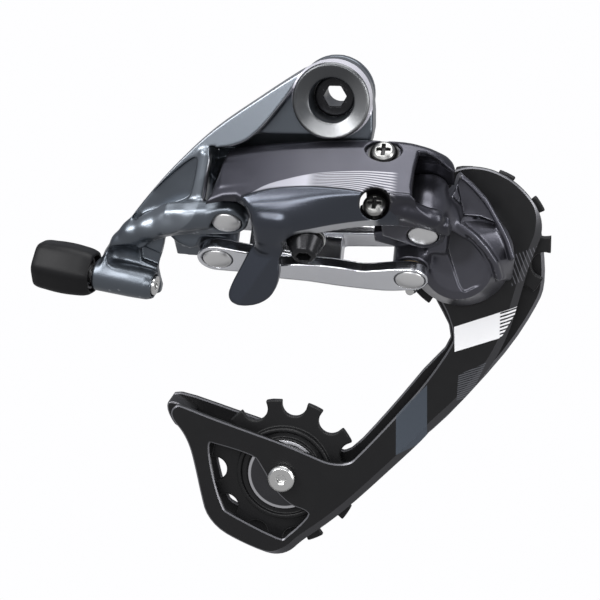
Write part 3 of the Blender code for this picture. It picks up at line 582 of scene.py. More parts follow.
class Paint:
    """A Principled material being put together. Its coordinates are row-frame millimetres."""

    def __init__(self, name, colour, roughness, metallic):
        self.material = bpy.data.materials.new(name)
        self.material.use_nodes = True
        self.tree = self.material.node_tree
        self.shader = self.tree.nodes["Principled BSDF"]
        self.shader.inputs["Metallic"].default_value = metallic
        self.colour = self.solid(colour)
        self.rough = self.number(roughness)
        self.scaled = self.vector("MULTIPLY", self.node("ShaderNodeTexCoord").outputs["Object"],
                                  (1000, 1000, 1000))
        self.height = None

    def node(self, kind):
        return self.tree.nodes.new(kind)

    def solid(self, colour):
        node = self.node("ShaderNodeRGB")
        node.outputs[0].default_value = (*colour, 1)
        return node.outputs[0]

    def number(self, value):
        node = self.node("ShaderNodeValue")
        node.outputs[0].default_value = value
        return Number(self.tree, node.outputs[0])

    def vector(self, kind, a, b):
        node = self.node("ShaderNodeVectorMath")
        node.operation = kind
        self.tree.links.new(a, node.inputs[0])
        node.inputs[1].default_value = b
        return node.outputs["Value" if kind == "DOT_PRODUCT" else "Vector"]

    def along(self, direction, origin):
        """Millimetres from origin along a direction."""
        dot = Number(self.tree, self.vector("DOT_PRODUCT", self.scaled, tuple(direction)))
        return dot - float(np.dot(direction, origin))

    def radius(self, axes):
        """Millimetres from the axes' third direction."""
        across = [self.along(way, axes.origin).math("POWER", 2.0) for way in axes.turn[:2]]
        return (across[0] + across[1]).math("SQRT")

    def noise(self, scale, detail=3.0, stretch=(1, 1, 1)):
        node = self.node("ShaderNodeTexNoise")
        self.tree.links.new(self.vector("MULTIPLY", self.scaled, stretch), node.inputs["Vector"])
        node.inputs["Scale"].default_value = scale
        node.inputs["Detail"].default_value = detail
        return Number(self.tree, node.outputs["Fac"])

    def attribute(self, name):
        node = self.node("ShaderNodeAttribute")
        node.attribute_name = name
        return Number(self.tree, node.outputs["Fac"])

    def blend(self, mask, colour, roughness=None, metallic=None):
        """Mixes a second finish in where mask is 1."""
        mix = self.node("ShaderNodeMix")
        mix.data_type = "RGBA"
        self.tree.links.new(mask.socket, mix.inputs["Factor"])
        self.tree.links.new(self.colour, mix.inputs["A"])
        mix.inputs["B"].default_value = (*colour, 1)
        self.colour = mix.outputs["Result"]
        if roughness is not None:
            self.rough = self.rough + mask * (self.rough * -1.0 + roughness)
        if metallic is not None:
            entry = self.shader.inputs["Metallic"]
            linked = entry.links and Number(self.tree, entry.links[0].from_socket)
            base = linked or self.number(entry.default_value)
            self.tree.links.new((base + mask * (base * -1.0 + metallic)).socket, entry)
        return self

    def worn(self, colour, low=0.54, high=0.64, amount=0.35, roughness=0.30):
        """Brightens convex edges, as handling and tumbling do."""
        point = Number(self.tree, self.node("ShaderNodeNewGeometry").outputs["Pointiness"])
        return self.blend(point.step(low, high) * amount, colour, roughness)

    def mottled(self, scale, spread):
        """Uneven gloss."""
        self.rough = self.rough + (self.noise(scale) - 0.5) * spread
        return self

    def grain(self, scale, depth, stretch=(1, 1, 1), detail=3.0):
        """Fine relief, depth in millimetres."""
        relief = self.noise(scale, detail, stretch) * depth
        self.height = relief if self.height is None else self.height + relief
        return self

    def set(self, **values):
        for name, value in values.items():
            self.shader.inputs[name.replace("_", " ")].default_value = value
        return self

    def done(self):
        self.tree.links.new(self.colour, self.shader.inputs["Base Color"])
        self.tree.links.new(self.rough.socket, self.shader.inputs["Roughness"])
        if self.height:
            bump = self.node("ShaderNodeBump")
            bump.inputs["Strength"].default_value = 1.0
            bump.inputs["Distance"].default_value = MM
            self.tree.links.new(self.height.socket, bump.inputs["Height"])
            self.tree.links.new(bump.outputs["Normal"], self.shader.inputs["Normal"])
        return self.material


def plain_finish(name, colour, roughness, metallic, worn=None, grain=0.01):
    paint = Paint(name, colour, roughness, metallic).mottled(0.25, 0.12).grain(2.2, grain)
    if worn:
        paint.worn(worn)
    return paint


FORGED = plain_finish("forged_alloy", (0.095, 0.108, 0.125), 0.33, 0.9, (0.45, 0.47, 0.50), 0.004)
FORGED.set(Coat_Weight=0.25, Coat_Roughness=0.2)
KNUCKLE = plain_finish("knuckle_alloy", (0.075, 0.075, 0.09), 0.34, 0.9, (0.42, 0.42, 0.46), 0.004)
KNUCKLE.set(Coat_Weight=0.25, Coat_Roughness=0.2)
LINK_GREY = plain_finish("link_alloy", (0.040, 0.040, 0.050), 0.36, 0.9, None, 0.004)
LINK_GREY.set(Coat_Weight=0.2, Coat_Roughness=0.2)
POLISHED = plain_finish("polished_alloy", (0.70, 0.71, 0.74), 0.20, 1.0, None, 0.004).done()
PEARL = plain_finish("pin_steel", (0.66, 0.66, 0.66), 0.36, 0.9, None, 0.004).done()
ZINC = plain_finish("zinc_steel", (0.62, 0.62, 0.61), 0.26, 1.0, None, 0.008).done()
BLACK_STEEL = plain_finish("black_steel", (0.018, 0.018, 0.020), 0.26, 0.7, (0.12, 0.12, 0.13), 0.004).done()
SPRING = plain_finish("spring_steel", (0.18, 0.18, 0.19), 0.34, 1.0, None, 0.006).done()
BRONZE = plain_finish("bush_bronze", (0.42, 0.30, 0.16), 0.42, 1.0, None, 0.012).done()
RUBBER = plain_finish("knob_rubber", (0.006, 0.006, 0.0065), 0.46, 0.0, (0.02, 0.02, 0.02), 0.012)
RUBBER = RUBBER.set(Specular_IOR_Level=0.14).done()
PULLEY = plain_finish("pulley_plastic", (0.006, 0.006, 0.0065), 0.42, 0.0, (0.02, 0.02, 0.02), 0.010)
PULLEY = PULLEY.set(Specular_IOR_Level=0.25).done()
SEAL = plain_finish("seal_rubber", (0.015, 0.015, 0.015), 0.55, 0.0, None, 0.012).done()


# ---------------------------------------------------------------- B-knuckle

BOSS_FACE = -19.0                             # outboard face of the hanger boss, along Y
WING_BACK = -10.5
OUTER_SWEEP = flow([(-4.0, 10.9), (-9.7, 7.9), (-21.1, 0.4), (-35.2, -9.6), (-45.9, -19.5),
                    (-55.2, -29.8), (-63.0, -39.9), (-68.2, -47.8), (-70.6, -54.1), (-70.8, -57.5)])
UNDER_SWEEP = flow([(-62.5, -58.0), (-59.5, -53.0), (-58.3, -47.5), (-54.0, -43.8), (-46.0, -40.6),
                    (-40.6, -36.4), (-38.6, -32.4)])
INNER_SWEEP = flow([(-38.1, -30.5), (-36.9, -23.2), (-35.6, -17.0), (-33.6, -15.2), (-30.2, -14.5),
                    (-25.7, -12.8), (-22.7, -10.6), (-19.7, -7.6), (-16.7, -4.0), (-13.8, -0.2),
                    (-11.7, 2.8), (-9.3, 6.4)])
POCKET = loop([(-62.8, -41.4), (-58.6, -34.8), (-54.6, -29.8), (-49.0, -24.2), (-43.2, -19.4),
               (-40.2, -17.9), (-39.6, -19.6), (-40.3, -23.4), (-41.6, -28.0), (-43.6, -30.8),
               (-47.9, -32.7), (-54.7, -36.2), (-60.4, -40.4)])
WEB = [(-70.0, -50.0), (-66.0, -44.0), (-58.0, -41.0), (-51.6, -42.5), (-51.9, -47.5), (-53.4, -53.0),
       (-52.6, -60.6), (-62.0, -61.4), (-70.4, -60.2)]
NOTCH = [(-58.6, -46.0), (-58.2, -50.6), (-52.9, -52.6), (-52.2, -48.6)]


def wing_front(u, v):
    """The wing's face leans back towards its lower edge."""
    lean = -0.6 * (u + 22.0) + 0.8 * (v + 12.0)
    return np.maximum(-19.0 + 0.20 * np.maximum(lean, 0), -18.9) + 0 * u


def slab(axes, outline, low, high, span, rounding=0.0):
    """A prism whose lower or upper face is a surface over the outline."""
    def distance(u, v, w):
        deep = np.maximum(low(u, v) - w, w - high(u, v))
        return rounded(polygon_distance(outline, u, v), deep, rounding)

    us, vs = zip(*outline)
    return Shape(axes, (min(us), min(vs), span[0]), (max(us), max(vs), span[1]), distance)


def make_b_knuckle():
    field = Field(SIDE, (-77, -67, -27), (15, 15, 1), 0.38 * COARSE)
    body = loop([(-8.0, 7.6), (-22.0, -3.0), (-37.0, -15.0), (-45.0, -24.0), (-51.0, -31.0),
                 (-50.0, -43.0), (-41.0, -46.5), (-38.0, -33.0), (-34.0, -26.6), (-14.0, -26.6),
                 (4.0, -17.5), (11.0, -13.6), (11.3, 0.0), (8.0, 8.0), (0.0, 10.6)], 3)
    field.add(prism(SIDE, body, -12.6, -2.4, 1.2))
    panel = OUTER_SWEEP + UNDER_SWEEP + INNER_SWEEP
    field.add(slab(SIDE, panel, wing_front, lambda u, v: WING_BACK, (-19.2, WING_BACK), 0.7), 1.6)
    field.cut(prism(SIDE, POCKET, -30, -14.6), 1.0)
    field.add(bar(SIDE, (-37.9, -17.0, -17.2), (-40.3, -33.0, -17.4), 1.7, 2.2), 1.2)
    boss = [(6.5, -2.2), (6.5, -16.9), (6.9, -17.5), (10.8, BOSS_FACE), (11.5, BOSS_FACE + 0.7),
            (11.5, -6.1), (11.0, -5.8), (11.0, -5.3), (11.5, -5.0), (11.5, -2.2)]
    neck = flow([(-8.5, 7.2), (-20.0, -1.0), (-31.0, -13.0), (-26.0, -18.0), (-8.0, -14.0), (-3.0, -10.0)])
    field.add(prism(SIDE, neck, -14.2, -4.0, 1.5), 2.0)
    field.cut(disc(SIDE, 11.0, -30, -10.5))
    field.add(spun(SIDE, boss))
    field.add(prism(SIDE, loop(WEB, 3), -14.0, -10.0, 0.8), 1.5)
    arm = [(-66.8, -49.5, -14.8), (-63.6, -44.6, -16.6), (-60.0, -41.4, -17.6), (-55.0, -39.4, -18.4),
           (-49.0, -37.6, -19.4), (-43.0, -36.2, -20.2), (-36.5, -35.6, -20.8)]
    for a, b, ra, rb in zip(arm, arm[1:], (2.6, 2.8, 3.2, 3.4, 3.3, 3.2), (2.8, 3.2, 3.4, 3.3, 3.2, 3.1)):
        field.add(bar(SIDE, a, b, ra, rb), 1.6)
    field.cut(bead(SIDE, (-61.5, -50.0, -18.0), (6.4, 5.0, 4.6), -20), 1.5)
    ear = arc((0, 0), 6.5, -75, 90, 16) + [(-9.0, 7.4), (-20.0, 7.6), (-26.0, 3.0), (-18.0, -4.0)]
    field.add(prism(LINK, ear, 0.8, 5.5, 1.5), 2.5)
    upper = arc((0, 0), 6.5, -60, 90, 16) + [(-11.0, 8.0), (-6.5, -7.5), (0.0, -7.6)]
    field.add(prism(LINK, upper, 20.5, 25.5, 0.6), 1.0)
    lug = arc((0, 0), 5.8, -100, 100, 16) + [(-13.5, 4.5), (-13.5, -9.0)]
    field.add(prism(INNER, lug, 3.0, 13.4, 0.3), 1.0)
    barrel = [(0, 19.35), (4.2, 19.35), (4.9, 20.0), (4.9, 31.0), (4.7, 36.5), (4.0, 38.4), (0, 38.4)]
    field.add(spun(KNOB, barrel), 1.6)
    cut_b_knuckle(field)
    piece = piece_from(field, "b_knuckle", "b_knuckle", "forged_grey", knuckle_paint())
    tag(piece, "panel", SIDE, lambda x, z, y: polygon_distance(panel, x, z))
    return piece


def cut_b_knuckle(field):
    """Bores, the outer link's sweep, and the room for the inner link's ears."""
    field.cut(prism(SIDE, NOTCH, -30, -11.5), 0.6)
    sweep = arc((0, 0), 7.4, 45, -125, 20) + [(-5.4, -14.5), (10.0, -15.2), (20.0, -17.0), (80.0, -20.0),
                                                (80.0, 40.0), (9.0, 40.0)]
    field.cut(prism(LINK, sweep, 5.9, 23.4))
    field.cut(disc(LINK, 7.4, 5.9, 20.15))
    field.cut(disc(LINK, 2.9, -3, 30))
    field.cut(disc(LINK, 4.7, -9, 1.9), 0.4)
    field.cut(disc(LINK, 4.2, 25.2, 45))
    field.cut(disc(INNER, 7.4, -12.0, 2.65))
    field.cut(disc(INNER, 7.4, 13.75, 40.0))
    field.cut(disc(INNER, 3.95, 0, 20))
    field.cut(disc(KNOB, 3.35, 15, 42))
    field.cut(disc(SIDE, 7.45, -6.3, 0))
    field.cut(disc(SIDE, 6.5, -30, 0))
    tab_sweep = [(u, v) for u, v in arc((0, 0), 12.6, -116, -70, 6) + arc((0, 0), 19.0, -70, -116, 6)]
    field.cut(prism(SIDE, tab_sweep, -7.2, 5))
    field.cut(disc(B_SCREW, 1.95, -32, 5))
    field.cut(disc(B_SCREW, 3.4, -60, -14.5), 0.4)


def tag(piece, name, axes, function):
    """Stores a function of local millimetres on a piece's vertices, for its material."""
    points = np.empty(len(piece.data.vertices) * 3, np.float32)
    piece.data.vertices.foreach_get("co", points)
    local = axes.into(points.reshape(-1, 3) / MM)
    values = np.asarray(function(*local.T), np.float32)
    piece.data.attributes.new(name, "FLOAT", "POINT").data.foreach_set("value", values)


def tag_depth(piece, name, field):
    """Stores how far each vertex lies under the surface the field had before its last cuts."""
    points = np.empty(len(piece.data.vertices) * 3, np.float32)
    piece.data.vertices.foreach_get("co", points)
    places = np.rint((field.axes.into(points.reshape(-1, 3) / MM) - field.low) / field.cell).astype(int)
    places = np.clip(places, 0, np.array(field.value.shape) - 1)
    values = -field.value[tuple(places.T)]
    piece.data.attributes.new(name, "FLOAT", "POINT").data.foreach_set("value", values.astype(np.float32))


def knuckle_paint():
    """Anodised forging: a brushed bezel with a painted highlight on its lower right, a bright band on the boss, a
    painted pale blue-grey reflection on the wing panel and a painted highlight along the panel's rim.
    """
    paint = FORGED
    radius = paint.radius(SIDE)
    depth = paint.along(Y, HANGER)
    near_boss = radius.step(11.9, 12.2).inverse()
    bezel = near_boss * depth.step(-16.4, -16.2).inverse() * radius.step(6.6, 6.8)
    paint.blend(bezel, (0.085, 0.088, 0.092), 0.34, 1.0)
    # Painted highlight: the bezel is made lighter towards its lower right, where the dished cone faces the lamps.
    bezel_highlight_side = paint.along(X * 0.707 - Z * 0.707, HANGER).step(-4.0, 9.0)
    paint.blend(bezel * bezel_highlight_side, (0.22, 0.225, 0.23), 0.34, 1.0)
    paint.height = paint.height + (radius * 38.0).math("SINE") * bezel * 0.004
    band = near_boss * depth.step(-18.2, -18.0) * depth.step(-11.4, -11.2).inverse() * radius.step(11.0, 11.2)
    paint.blend(band, (0.62, 0.61, 0.67), 0.30, 0.4)
    # Painted reflection: the wing's front panel is made a paler blue-grey, fading out below towards the arm.
    upper = near_boss.inverse() * paint.along(Z, HANGER).step(-42.0, -37.0)
    face = paint.attribute("panel").step(-1.1, -0.5).inverse() * depth.step(-15.9, -15.6).inverse()
    paint.blend(face * upper * 0.9, (0.17, 0.19, 0.215), 0.34, 0.9)
    # Painted highlight: a thin bright line is painted along the panel's outline, on its front and upper part only.
    rim = paint.attribute("panel").math("ABSOLUTE").step(0.2, 0.6).inverse()
    rim = rim * depth.step(-15.5, -15.0).inverse()
    rim = rim * paint.along(Z, HANGER).step(-31.0, -29.0)
    paint.blend(rim * upper * 0.7, (0.62, 0.63, 0.66), 0.26, 1.0)
    return paint.done()


make_b_knuckle()


# ---------------------------------------------------------------- outer link

FRONT_WALL = [(-5, -10.6), (0.6, -12.2), (7, -13.6), (19, -15.2), (33, -16.2), (46, -16.4),
              (56, -15.2), (62, -12.8), (66, -10.0), (68.5, -7.8)]
TOP_EDGE = [(-5, 20.2), (0.6, 21.2), (7, 21.5), (19, 21.9), (33, 22.2), (46, 22.4), (56, 22.2),
            (62, 21.6), (65.5, 20.8), (67.4, 19.0), (68.5, 17.0)]
LEFT_END = [(-30, -30), (-30, 26), (0.6, 26), (-0.3, 19.5), (-3.4, 5.5), (-5.2, 1.0), (-2.4, 1.7),
            (0.2, 2.4), (3.9, 2.2), (6.8, 0.1), (9.0, -3.0), (10.2, -6.2), (11.0, -30)]
RIGHT_END = [(67.9, 40), (67.9, 15), (67.2, 10), (66.4, -1.0), (65.8, -4.0), (64.0, -6.5), (60.0, -9.0),
             (60.0, -30), (90, -30), (90, 40)]
SLOT = [(56.9, 18.2), (59.0, 18.6), (62.7, 17.5), (65.2, 16.0), (80, 13.0), (80, -12), (67.4, -9.0),
        (66.6, -4.8), (64.1, -1.9), (62.0, -0.9), (58.7, 0.6), (56.2, 2.2), (55.7, 5.6), (56.1, 12.0)]
LOWER_EDGE = [(-5, -4.4), (0.6, -5.2), (7, -6.0), (13, -6.3), (18.5, -6.3), (24, -5.4), (33, -3.4),
              (46, -1.4), (56, -0.8), (62, -0.4), (68.5, 0.0)]
CREASE = [(-5.5, -6.0), (-0.4, -3.5), (2.5, -0.9), (5.8, 1.2), (12.1, 3.2), (23.2, 4.1), (32.1, 3.6),
          (39.8, 2.5), (47.0, 0.6), (53.0, -1.3), (56.0, -3.0), (68.5, -5.0)]
BAND_TOP = [(-5.5, -6.4), (0.5, -3.4), (2.8, -1.6), (7.4, 1.6), (12.1, 4.6), (20.1, 7.2), (27.3, 8.7),
            (36.0, 9.4), (52.1, 9.9), (68.5, 9.8)]
CLAMP_AT = (24.0, 1.8)


def link_section(x):
    """The channel at one X: top flange, front wall, bulge below the crease, rolled lower flange."""
    front, top, bottom, crease = (float(eased(x, k)) for k in (FRONT_WALL, TOP_EDGE, LOWER_EDGE, CREASE))
    wall, flange = 2.6, min(max(x / 3.0 - 1.0, -1.0), 4.0)
    crease = max(crease, bottom + 3.5)
    belly = flow([(front - 0.2, crease - 0.6), (front + 0.9, crease - (crease - bottom) * 0.45),
                  (front + 4.2, bottom + 1.6), (front + 8.4, bottom + 0.2), (front + 12.5, bottom + 0.1)], 5)
    roof = [(flange, top), (front + 3.4, top), (front + 1.5, top - 0.6), (front + 0.5, top - 2.0)]
    face = [(front, top - 4.5), (front + 0.1, max(top - 10.5, crease + 2.0)), (front + 0.35, crease + 0.3)]
    inner = [(front + 12.5, bottom + wall), (front + 7.6, bottom + wall + 1.4), (front + 4.6, bottom + 6.4),
             (front + wall, top - 10.5), (front + wall, top - 4.6), (front + wall + 0.6, top - wall),
             (flange, top - wall)]
    return roof + face + belly + inner


def swept(axes, low, high, span, section):
    """A section outline that changes along the first direction, read slice by slice."""
    def distance(u, v, w):
        v, w = v[0], w[0]
        slices = [polygon_distance(section(float(x)), v, w) for x in u.ravel()]
        return np.maximum(np.stack(slices), np.maximum(low - u, u - high))

    return Shape(axes, (low, span[0][0], span[0][1]), (high, span[1][0], span[1][1]), distance)


def make_outer_link():
    field = Field(LINK, (-8, -19, -19), (71, 18, 25), 0.38 * COARSE)
    field.add(swept(LINK, -6.0, 69.0, ((-17.5, -8), (6, 24)), link_section))
    flat = Axes(LINK.origin, X, ALONG, -ACROSS)
    field.cut(prism(flat, LEFT_END, -30, 30), 1.2)
    field.cut(prism(flat, RIGHT_END, -30, 30), 1.2)
    field.cut(prism(flat, SLOT, 2.7, 30), 0.8)
    lug = arc((0, 0), 5.6, 75, 230, 16) + [(-1.0, -11.5), (9.0, -13.0), (14.0, -8.0), (9.0, 4.5)]
    field.add(prism(LINK, lug, 6.0, 14.5, 0.3), 1.0)
    ear = arc(LINK_VECTOR, 6.5, -60, 110, 16) + [(44.0, 3.0), (40.0, -6.0), (50.0, -8.0), (58.0, -5.5)]
    field.add(prism(LINK, ear, 0.8, 5.0, 0.5), 1.0)
    ear = arc(LINK_VECTOR, 6.5, -60, 110, 16) + [(44.0, 5.0), (44.0, -12.0), (54.5, -12.0), (60.5, -6.0)]
    field.add(prism(LINK, ear, 19.9, 22.0, 0.4), 0.8)
    tine = [((54.0, -9.0, 1.5), 3.0), ((62.0, -4.0, 2.0), 2.6), ((64.5, 1.5, 2.6), 2.2)]
    for (a, ra), (b, rb) in zip(tine, tine[1:]):
        field.add(bar(LINK, a, b, ra, rb), 1.2)
    field.add(disc(LINK, 5.0, -1.7, 4.0, CLAMP_AT), 1.0)
    field.add(prism(LINK, [(42.0, -14.5), (50.0, -14.0), (50.0, -4.5), (42.0, -4.5)], 0.2, 19.9, 1.0), 1.5)
    field.add(fin_shape(), 1.0)
    for shape in sheet(SIDE, [(-19.5, -33.6, -28.6), (-12.6, -34.0, -29.4)],
                       [(-19.6, -42.0, -22.6), (-15.6, -42.6, -22.4)], 2.1, 9):
        field.add(shape, 2.0)
    skin = field.copy()
    cut_outer_link(field)
    piece = piece_from(field, "outer_link", "outer_link", "link_grey", link_paint())
    tag_depth(piece, "well", skin)
    tag(piece, "band", LINK,
        lambda x, q, s: (s - eased(x, CREASE)) / (eased(x, BAND_TOP) - eased(x, CREASE) + 0.6))
    tag(piece, "band_top", LINK, lambda x, q, s: eased(x, BAND_TOP) - s)
    tag(piece, "below", LINK, lambda x, q, s: eased(x, CREASE) - s)
    tag(piece, "proud", LINK, lambda x, q, s: q - eased(x, FRONT_WALL))
    tag(piece, "low_bore", LOW_SCREW, lambda u, v, w: np.hypot(u * 0.85, v) - 4.2 + 0 * w)
    tag(piece, "high_bore", HIGH_SCREW, lambda u, v, w: np.hypot(u + 0.16 * w, v + 0.65 * w) - 4.6)
    return piece


def fin_shape():
    """The tongue below the link that guides the cable, with a ridge down its face."""
    fin = flow([(-22.6, -31.0), (-21.7, -38.0), (-22.4, -42.0), (-24.4, -45.6), (-26.6, -50.0), (-28.9, -54.4),
                (-30.1, -57.8), (-29.6, -59.8), (-27.7, -60.9), (-24.4, -61.2), (-20.8, -60.5), (-17.5, -58.4),
                (-15.5, -55.0), (-14.6, -51.0), (-14.6, -47.0), (-13.6, -43.6), (-11.0, -40.0),
                (-11.0, -31.0)], 3)

    def face(u, v):
        left = (-0.82 * (u + 16.8) + 0.57 * (v + 46.3)) * 1.0
        return -24.7 + np.where(left > 0, 0.42 * left, -0.12 * left)

    return slab(SIDE, fin, face, lambda u, v: -19.6, (-24.8, -19.6), 0.6)


def cut_outer_link(field):
    """Room for the rear ears, the fork for the P-knuckle, pin holes and screw holes."""
    arm_room = [(-20, -9), (2.5, -9), (4.0, 7.5), (-20, 12)]
    fork = [(54.0, 20.0), (54.0, -3.0), (54.6, -7.5), (80.0, -7.5), (80.0, 20.0)]
    field.cut(disc(LINK, 7.5, -12, 5.85))
    field.cut(prism(LINK, arm_room, -12, 5.85))
    field.cut(disc(LINK, 7.5, 14.85, 30))
    field.cut(prism(LINK, fork, 5.35, 19.55), 0.8)
    field.cut(disc(LINK, 3.95, 0, 20))
    field.cut(disc(LINK, 2.9, -5, 30, LINK_VECTOR))
    field.cut(disc(LINK, 4.7, -9, 1.9, LINK_VECTOR), 0.4)
    field.cut(disc(LINK, 6.4, -12, -1.75, CLAMP_AT), 0.4)
    field.cut(disc(LINK, 2.3, -5, 3.0, CLAMP_AT))
    for axes, room in ((LOW_SCREW, -12), (HIGH_SCREW, -1.2)):
        field.cut(disc(axes, 2.1, -2, 30))
        field.cut(disc(axes, 3.85, room, 2.6), 0.3)
    eye = loop([(-5.4, 0.2), (-3.2, 3.3), (0.2, 4.3), (3.4, 3.3), (5.4, 0.2), (3.4, -2.8), (-0.2, -3.9),
                (-3.2, -2.9)])
    field.cut(prism(LOW_SCREW, eye, -12, 2.0), 0.5)
    field.cut(bar(HIGH_SCREW, (0, 0, 1.6), (1.6, 6.5, -10.0), 4.3, 5.0), 0.5)


def link_paint():
    """Grey anodising, a polished band along the crease that breaks up into pinstripes, a darker belly, and painted
    shade in the screw wells.
    """
    paint = LINK_GREY
    x = paint.along(X, LINK.origin)
    below = paint.attribute("below")
    paint.blend(below.step(-0.1, 0.3), (0.050, 0.056, 0.070), 0.26, 0.9)
    strip = paint.attribute("proud").step(9.0, 9.5) * paint.attribute("below").step(2.0, 3.0)
    strip = strip * x.step(21.0, 24.0)
    strip = strip * x.step(64.5, 66.0).inverse()
    paint.blend(strip, (0.50, 0.51, 0.53), 0.30, 1.0)
    outside = paint.attribute("proud").step(2.2, 3.0).inverse() * x.step(49.5, 52.0).inverse()
    band = below.step(-0.2, 0.1).inverse() * paint.attribute("band_top").step(-0.15, 0.15) * outside
    solid = band * x.step(24.5, 28.5).inverse()
    stripes = paint.attribute("band").math("MULTIPLY", 11.0).math("FRACT").step(0.42, 0.58)
    stripes = stripes * band * x.step(24.5, 28.5)
    paint.blend(solid * 0.92, (0.25, 0.25, 0.28), 0.34, 0.7)
    paint.blend(stripes * 0.85, (0.22, 0.22, 0.24), 0.34, 0.7)
    # Painted shade: the low screw's counterbore and the hole round the high screw are painted near black below the
    # front face.
    bore_shade = paint.attribute("low_bore").step(-0.4, -0.1).inverse() * paint.attribute("proud").step(0.35, 0.6)
    deep = paint.attribute("high_bore").step(-0.1, 0.2).inverse() * paint.attribute("well").step(0.02, 0.15)
    paint.blend(bore_shade.math("MAXIMUM", deep), (0.006, 0.006, 0.007), 0.4, 0.2)
    return paint.done()


make_outer_link()


# ---------------------------------------------------------------- inner link


def make_inner_link():
    field = Field(INNER, (-8, -10, -7), (67, 14, 20), 0.38 * COARSE)
    far = tuple(LINK_VECTOR)
    field.add(prism(INNER, capsule((0, 0), (22.0, 3.8), 6.2, 4.2), -1.5, 2.5, 0.5))
    plate = arc(far, 5.5, -95, 80, 14) + flow([(53.5, 9.9), (48.6, 9.9), (37.9, 8.4), (27.3, 6.2), (16.0, 4.6),
                                               (11.0, 1.0), (20.0, -2.2), (30.0, -2.6), (38.0, -1.6),
                                               (44.0, -0.2), (49.0, -0.6), (54.5, -1.6)])
    field.add(prism(INNER, plate, -4.5, -0.6, 0.6), 2.2)
    field.add(prism(INNER, capsule((0, 0), (24.0, 4.4), 6.2, 4.2), 13.9, 17.2, 0.5))
    field.add(prism(INNER, capsule((20.0, 4.6), (54.0, 3.9), 4.2, 3.4), 9.9, 13.2, 0.5), 0.6)
    field.add(disc(INNER, 5.2, 9.9, 13.2, far, 0.5), 0.6)
    block = [(9.0, 0.5), (37.0, 2.5), (37.0, 9.6), (18.0, 7.6), (9.0, 5.0)]
    field.add(prism(INNER, block, -2.6, 16.0, 0.8), 1.0)
    for centre, seat in (((0, 0), -0.4), (far, -3.4)):
        field.cut(disc(INNER, 2.9, -9, 30, centre))
        field.cut(disc(INNER, 4.7, -9, seat, centre), 0.3)
    piece_from(field, "inner_link", "inner_link", "polished_alloy", POLISHED)


make_inner_link()


# ---------------------------------------------------------------- P-knuckle


def side_places(points, y):
    return [(x, z, y) for x, z in points]


RIDGE_1 = side_places([(35.2, -23.4), (40.0, -27.0), (44.5, -31.7), (49.0, -39.5), (51.2, -43.8),
                       (53.0, -49.1)], -1.5)
RIDGE_1_BACK = side_places([(34.6, -25.0), (39.2, -28.6), (43.6, -33.4), (48.0, -41.0), (50.2, -45.4),
                            (51.6, -51.0)], 5.0)
RIDGE_2 = [(33.4, -36.2, -8.0), (38.0, -38.6, -7.8), (41.9, -41.6, -7.4), (45.6, -45.9, -6.4),
           (48.0, -50.0, -4.8), (49.2, -55.4, -1.5)]
RIDGE_2_BACK = [(33.4, -37.0, 0.0), (37.6, -39.6, 0.0), (41.4, -42.8, 0.5), (45.0, -47.0, 1.0),
                (47.0, -51.2, 2.0), (48.0, -56.6, 4.0)]
FACET = [(38.6, -38.4, -5.0), (43.0, -41.8, -5.0), (46.4, -45.9, -4.4), (48.6, -50.2, -2.8), (49.6, -56.0, 2.0)]
RIDGE_1_END = [(43.5, -39.2, 1.0), (50.0, -41.4, 0.5), (51.8, -45.8, 1.5), (52.2, -50.6, 4.5),
               (51.2, -58.0, 10.5)]


def make_p_knuckle():
    field = Field(CAGE, (-27, -19, -27), (18, 31, 16), 0.36 * COARSE)
    cup = [(0, -3.4), (8.2, -3.4), (10.8, -1.8), (12.6, 3.0), (14.6, 8.0), (15.7, 10.4), (16.0, 11.2),
           (16.0, 14.5), (0, 14.5)]
    field.add(spun(CAGE, cup))
    field.add(bar(SIDE, (27.6, -31.8, -9.6), (35.5, -45.0, 3.0), 6.3, 9.0), 3.0)
    for front, back, radius in ((RIDGE_1, RIDGE_1_BACK, 0.85), (RIDGE_2, RIDGE_2_BACK, 0.95),
                                (FACET, RIDGE_1_END, 1.1)):
        for shape in sheet(SIDE, front, back, radius, 40 if COARSE == 1 else 16):
            field.add(shape, 0.7)
    floor_web = [(31.0, -25.0), (36.2, -24.0), (41.0, -29.0), (46.6, -35.6), (50.2, -41.6), (51.0, -49.0),
                 (42.0, -50.0), (32.0, -40.0)]
    field.add(prism(SIDE, floor_web, 2.0, 5.0, 0.5), 1.0)
    field.add(disc(FRONT, 6.4, 5.4, 19.4, rounding=0.5), 1.6)
    field.add(disc(FRONT, 5.6, 0.2, 9.3, tuple(PIN_OFFSET), 0.4), 1.0)
    skirt = [(27.0, -47.5), (31.5, -34.0), (34.0, -31.0), (37.5, -37.5), (40.0, -46.0)]
    field.add(prism(SIDE, skirt, -8.0, 8.0, 1.5), 2.0)
    field.add(prism(FRONT, capsule((0.5, 1.0), tuple(PIN_OFFSET), 5.0, 4.6), 5.4, 9.3, 0.4), 1.0)
    arm = [(-15.5, 6.0), (-15.5, 10.5), (-7.0, 14.0), (2.0, 10.0), (0.0, 2.0)]
    field.add(prism(FRONT, arm, 5.6, 9.2, 0.4), 0.8)
    stop = [(18.6, -60.0), (24.0, -62.0), (24.0, -54.0), (18.6, -54.0)]
    field.add(prism(SIDE, stop, 9.5, 13.9, 0.5), 0.8)
    pocket_a = [(35.2, -25.6), (36.6, -31.0), (37.9, -37.4), (43.0, -37.6), (48.2, -39.6), (45.6, -34.8),
                (41.6, -29.8), (38.0, -26.2)]
    skin = field.copy()
    field.cut(prism(SIDE, pocket_a, -30, 2.6), 0.5)
    pocket_b = flow([(34.4, -39.2), (38.4, -42.0), (42.0, -45.6), (44.8, -49.8), (46.2, -54.4)])
    pocket_b += flow([(45.4, -56.6), (41.2, -58.6), (38.2, -59.4), (35.6, -53.0), (33.6, -46.4)])
    field.cut(prism(SIDE, pocket_b, -30, -2.6), 0.7)
    cut_p_knuckle(field)
    piece = piece_from(field, "p_knuckle", "p_knuckle", "forged_grey", p_knuckle_paint())
    tag_depth(piece, "well", skin)
    return piece


